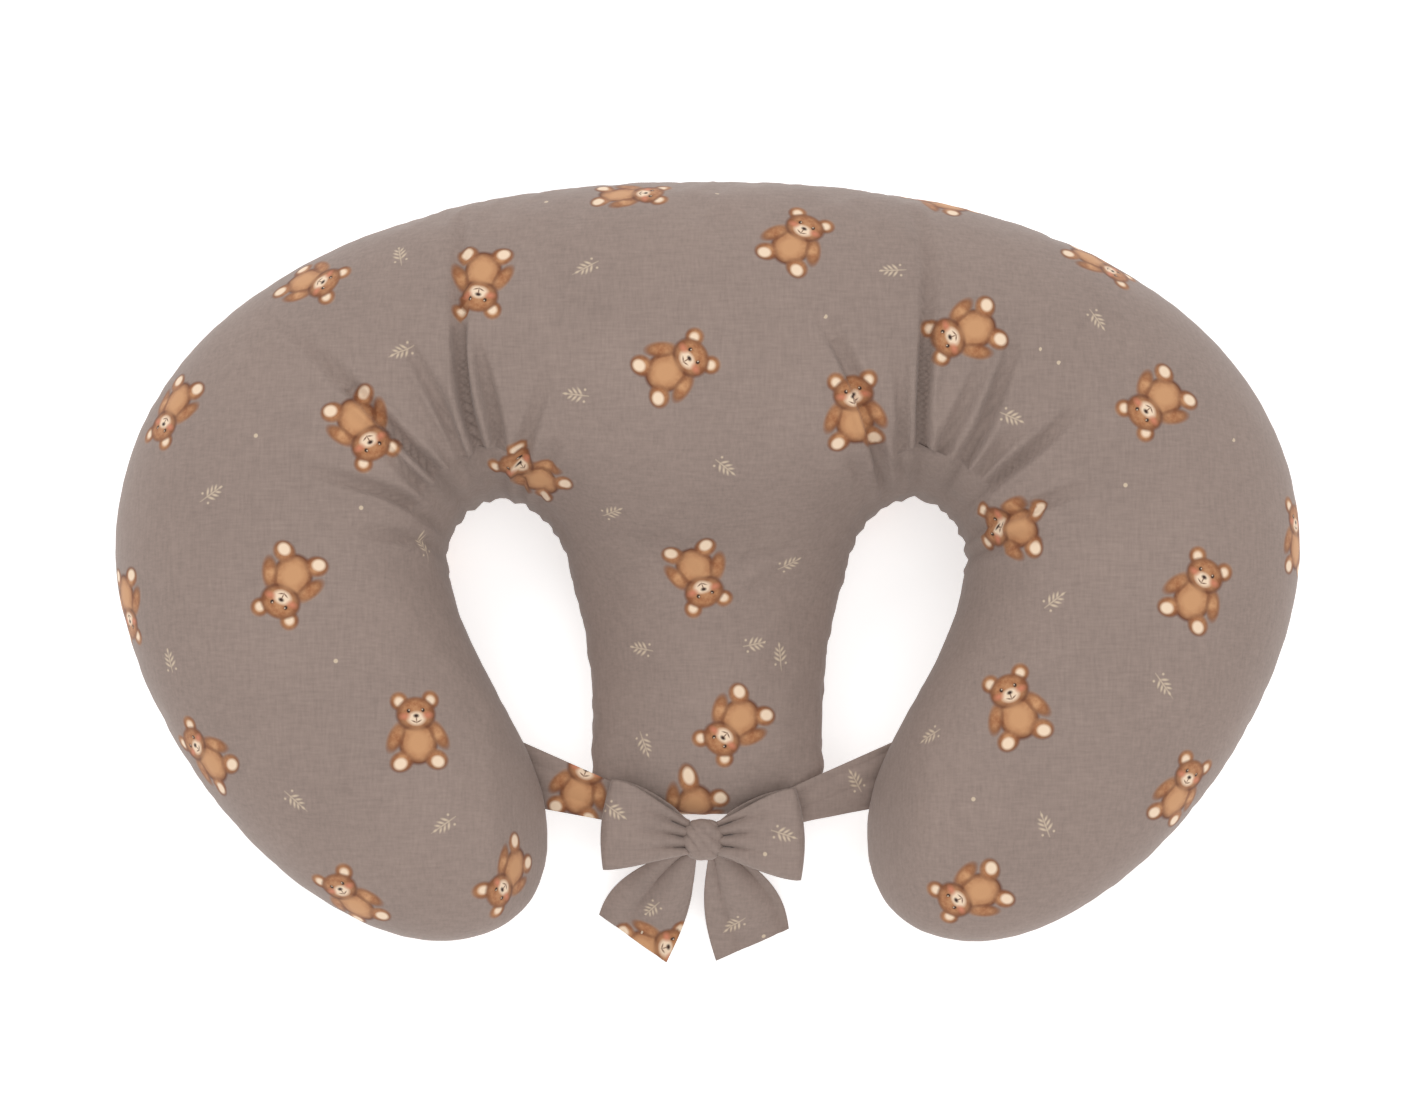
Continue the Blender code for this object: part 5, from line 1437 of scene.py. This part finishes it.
def motifs_for(name):
    """(kind, size, x, y, heading) of each motif that may land on a piece."""
    found = [(2, SPRIG_SIZE, x, y, (x * 9100 + y * 5300) % 360) for x, y in SPRIGS]
    found += [(3, DOT_SIZE, x, y, 0) for x, y in DOTS]
    if name in TIE_TEDDIES:
        found.append((1, TEDDY_SIZE, *TIE_TEDDIES[name]))
    if name.startswith("cover"):
        found += [(1, TEDDY_SIZE, *teddy) for teddy in (*TEDDIES, TONGUE_TEDDY)]
    return found


# %% Print them on the pieces
MOTIF_REACH = 1.08
LEAST_SEARCH = 0.006
FACES_THE_SAME_WAY = 0.2


def print_motifs(obj, from_below=False):
    """Gives each motif's faces their map and mark, and says how many faces that was."""
    mesh = obj.data
    count = len(mesh.polygons)
    points, corner_of = read(mesh.vertices, "co", 3), read(mesh.loops, "vertex_index", kind=int)
    centres, facing = read(mesh.polygons, "center", 3), read(mesh.polygons, "normal", 3)
    face_of = np.repeat(np.arange(count), read(mesh.polygons, "loop_total", kind=int))
    tree = BVHTree.FromPolygons(points.tolist(), [tuple(face.vertices) for face in mesh.polygons])
    kinds, nearest = np.zeros(count), np.full(count, np.inf)
    chart = np.zeros((len(mesh.loops), 2))
    for kind, size, x, y, heading in motifs_for(obj.name):
        x, start, way = (-x, -0.1, 1) if from_below else (x, 0.4, -1)
        place, out, _, _ = tree.ray_cast(Vector((x, y, start)), Vector((0, 0, way)))
        if place is None:
            continue
        place = np.array(place)
        offset = centres - place
        near = np.linalg.norm(offset, axis=1) < max(size, LEAST_SEARCH)
        near &= facing @ np.array(out) > FACES_THE_SAME_WAY
        out = facing[near].sum(axis=0) + np.array(out) * 0.01
        out /= np.linalg.norm(out)
        turn = math.radians(heading)
        up = np.array([math.cos(turn), math.sin(turn), 0.0])
        up -= out * (up @ out)
        up /= np.linalg.norm(up)
        across = np.cross(up, out)
        far = np.maximum(np.abs(offset @ across), np.abs(offset @ up)) / size
        whole = np.linalg.norm(offset, axis=1) / size
        chosen = (far < MOTIF_REACH) & (whole < 2 * MOTIF_REACH) & (whole < nearest) & (facing @ out > 0.05)
        kinds[chosen], nearest[chosen] = kind, whole[chosen]
        loops = np.flatnonzero(chosen[face_of])
        local = points[corner_of[loops]] - place
        chart[loops] = np.stack([local @ across, local @ up], axis=1) / size
    mesh.uv_layers.new(name="print").data.foreach_set("uv", chart.ravel())
    mesh.attributes.new("motif", "FLOAT", "FACE").data.foreach_set("value", kinds)
    return int((kinds > 0).sum())


for piece in (cover_top, cover_bottom, *tie_pieces):
    print(piece.name, print_motifs(piece, from_below=piece == cover_bottom), "printed faces")
for finish, pieces in (
    (cotton, (cover_top, cover_bottom, *tie_pieces)), (polycotton, (casing_top, casing_bottom)), (fibre, (fill,)),
    (elastic_finish, elastics.values()), (tape_finish, tapes.values()),
):
    for piece in pieces:
        piece.data.materials.append(finish)

# %% [markdown]
# ## Joining the pieces to the model
#
# The CAD nodes that the pieces stand for are hidden. The slider and the pull are hung on their own bodies, and every
# other piece but the loops and tails on the cushion.

# %% Hide the CAD nodes that the pieces stand for
for slot_name, pieces in (
    ("printed_cotton", {
        "cover_top_panel": cover_top, "cover_bottom_panel": cover_bottom, "tie_band_left": band_left,
        "tie_band_right": band_right, "bow_knot": knot_piece, "bow_loop_left": loop_left,
        "bow_loop_right": loop_right, "bow_tail_left": tail_left, "bow_tail_right": tail_right,
    }),
    ("white_polycotton", {"casing_top_panel": casing_top, "casing_bottom_panel": casing_bottom}),
    ("polyester_fibre", {"fibre_fill": fill}),
    ("woven_elastic", {f"gather_elastic_{side}": piece for side, piece in elastics.items()}),
    ("zip_tape", {f"zip_tape_{side}": piece for side, piece in tapes.items()}),
    ("nylon_coil", {f"zip_coil_{side}": piece for side, piece in coils.items()}),
    ("enamelled_zinc", metal),
):
    for node, piece in pieces.items():
        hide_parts(node)

for node, piece in metal.items():
    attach(piece, METAL_NODES[node])
for piece in (
    cover_top, cover_bottom, casing_top, casing_bottom, fill, *small_pieces, band_left, band_right, knot_piece,
):
    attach(piece, "cushion")
for piece, body, side in ((loop_left, "loop_left", -1), (loop_right, "loop_right", 1)):
    start = KNOT_CENTRE + (side * KNOT_HALF[0], 0, 0)
    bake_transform(piece)
for piece, body, end in ((tail_left, "tail_left", (-0.040, -0.193)), (tail_right, "tail_right", (0.024, -0.1965))):
    start = KNOT_CENTRE + (0, -KNOT_HALF[1], -KNOT_HALF[2] / 2)
    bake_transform(piece)


# %% [markdown]
# ## What each piece was cut from
#
# The two panels of the cover and of the casing are cut from rectangles with a 10 mm seam allowance, and are stretched
# over the filling. The tie is cut across the width of a narrow strip and gathered into the knot. The filling and the
# knot are padded.


# %% [markdown]
# ## Floor, light and view
#
# A product of cloth is shown best on a plain pale floor in soft light, which keeps the colours true and lets the
# gathers make the only shadows. Two large lamps and an even sky do that. The floor glows a little, so that it
# stays white under the sky. The camera looks almost straight down, as on a pillow laid on a bed.

# %% Lay the floor
FLOOR_SIZE, FLOOR_GLOW = 8.0, 0.50

bpy.ops.mesh.primitive_plane_add(size=FLOOR_SIZE)
floor = bpy.context.object
floor.name = "floor"
floor_finish, floor_tree, floor_shader, floor_place = new_material("floor", 0.9)
floor_tone = between(floor_tree, speckle(floor_tree, floor_place, 2.0), 0.3, 0.7, 0.955, 0.965)
floor_grey = put(floor_tree, "ShaderNodeCombineColor", dict.fromkeys(range(3), floor_tone))
floor_tree.links.new(floor_grey, floor_shader.inputs["Base Color"])
floor_shader.inputs["Emission Color"].default_value = (1.0, 1.0, 1.0, 1.0)
floor_shader.inputs["Emission Strength"].default_value = FLOOR_GLOW
floor.data.materials.append(floor_finish)

# %% Light it
SKY_STRENGTH = 0.70

sky = bpy.data.worlds.new("studio")
sky.use_nodes = True
sky.node_tree.nodes["Background"].inputs["Color"].default_value = (1.0, 1.0, 1.0, 1.0)
sky.node_tree.nodes["Background"].inputs["Strength"].default_value = SKY_STRENGTH
scene.world = sky


def lamp(name, place, size, power):
    """A square lamp that points at the origin."""
    light = bpy.data.lights.new(name, "AREA")
    light.size, light.energy = size, power
    obj = bpy.data.objects.new(name, light)
    obj.location = place
    obj.rotation_euler = (-Vector(place)).to_track_quat("-Z", "Y").to_euler()
    scene.collection.objects.link(obj)


lamp("key", (-0.9, 1.1, 1.8), 0.9, 8.0)
lamp("fill", (0.5, -0.5, 2.2), 2.0, 13.0)

# %% Look at it
CAMERA_TILT = math.radians(7.0)
CAMERA_DISTANCE = 1.8
LOOKS_AT = (0.001, 0.0068, 0.060)
SHOWN_WIDTH = 0.746

camera = bpy.data.objects.new("camera", bpy.data.cameras.new("camera"))
camera.location = Vector(LOOKS_AT) + CAMERA_DISTANCE * Vector((0, -math.sin(CAMERA_TILT), math.cos(CAMERA_TILT)))
camera.rotation_euler = (CAMERA_TILT, 0, 0)
camera.data.lens = camera.data.sensor_width * CAMERA_DISTANCE / SHOWN_WIDTH
scene.collection.objects.link(camera)
scene.camera = camera
scene.view_settings.view_transform = "Standard"

# %% [markdown]
# ## The end

# Soft cloth may stand a few millimetres outside the imported model, but no more.

# %% Update the view layer
bpy.context.view_layer.update()
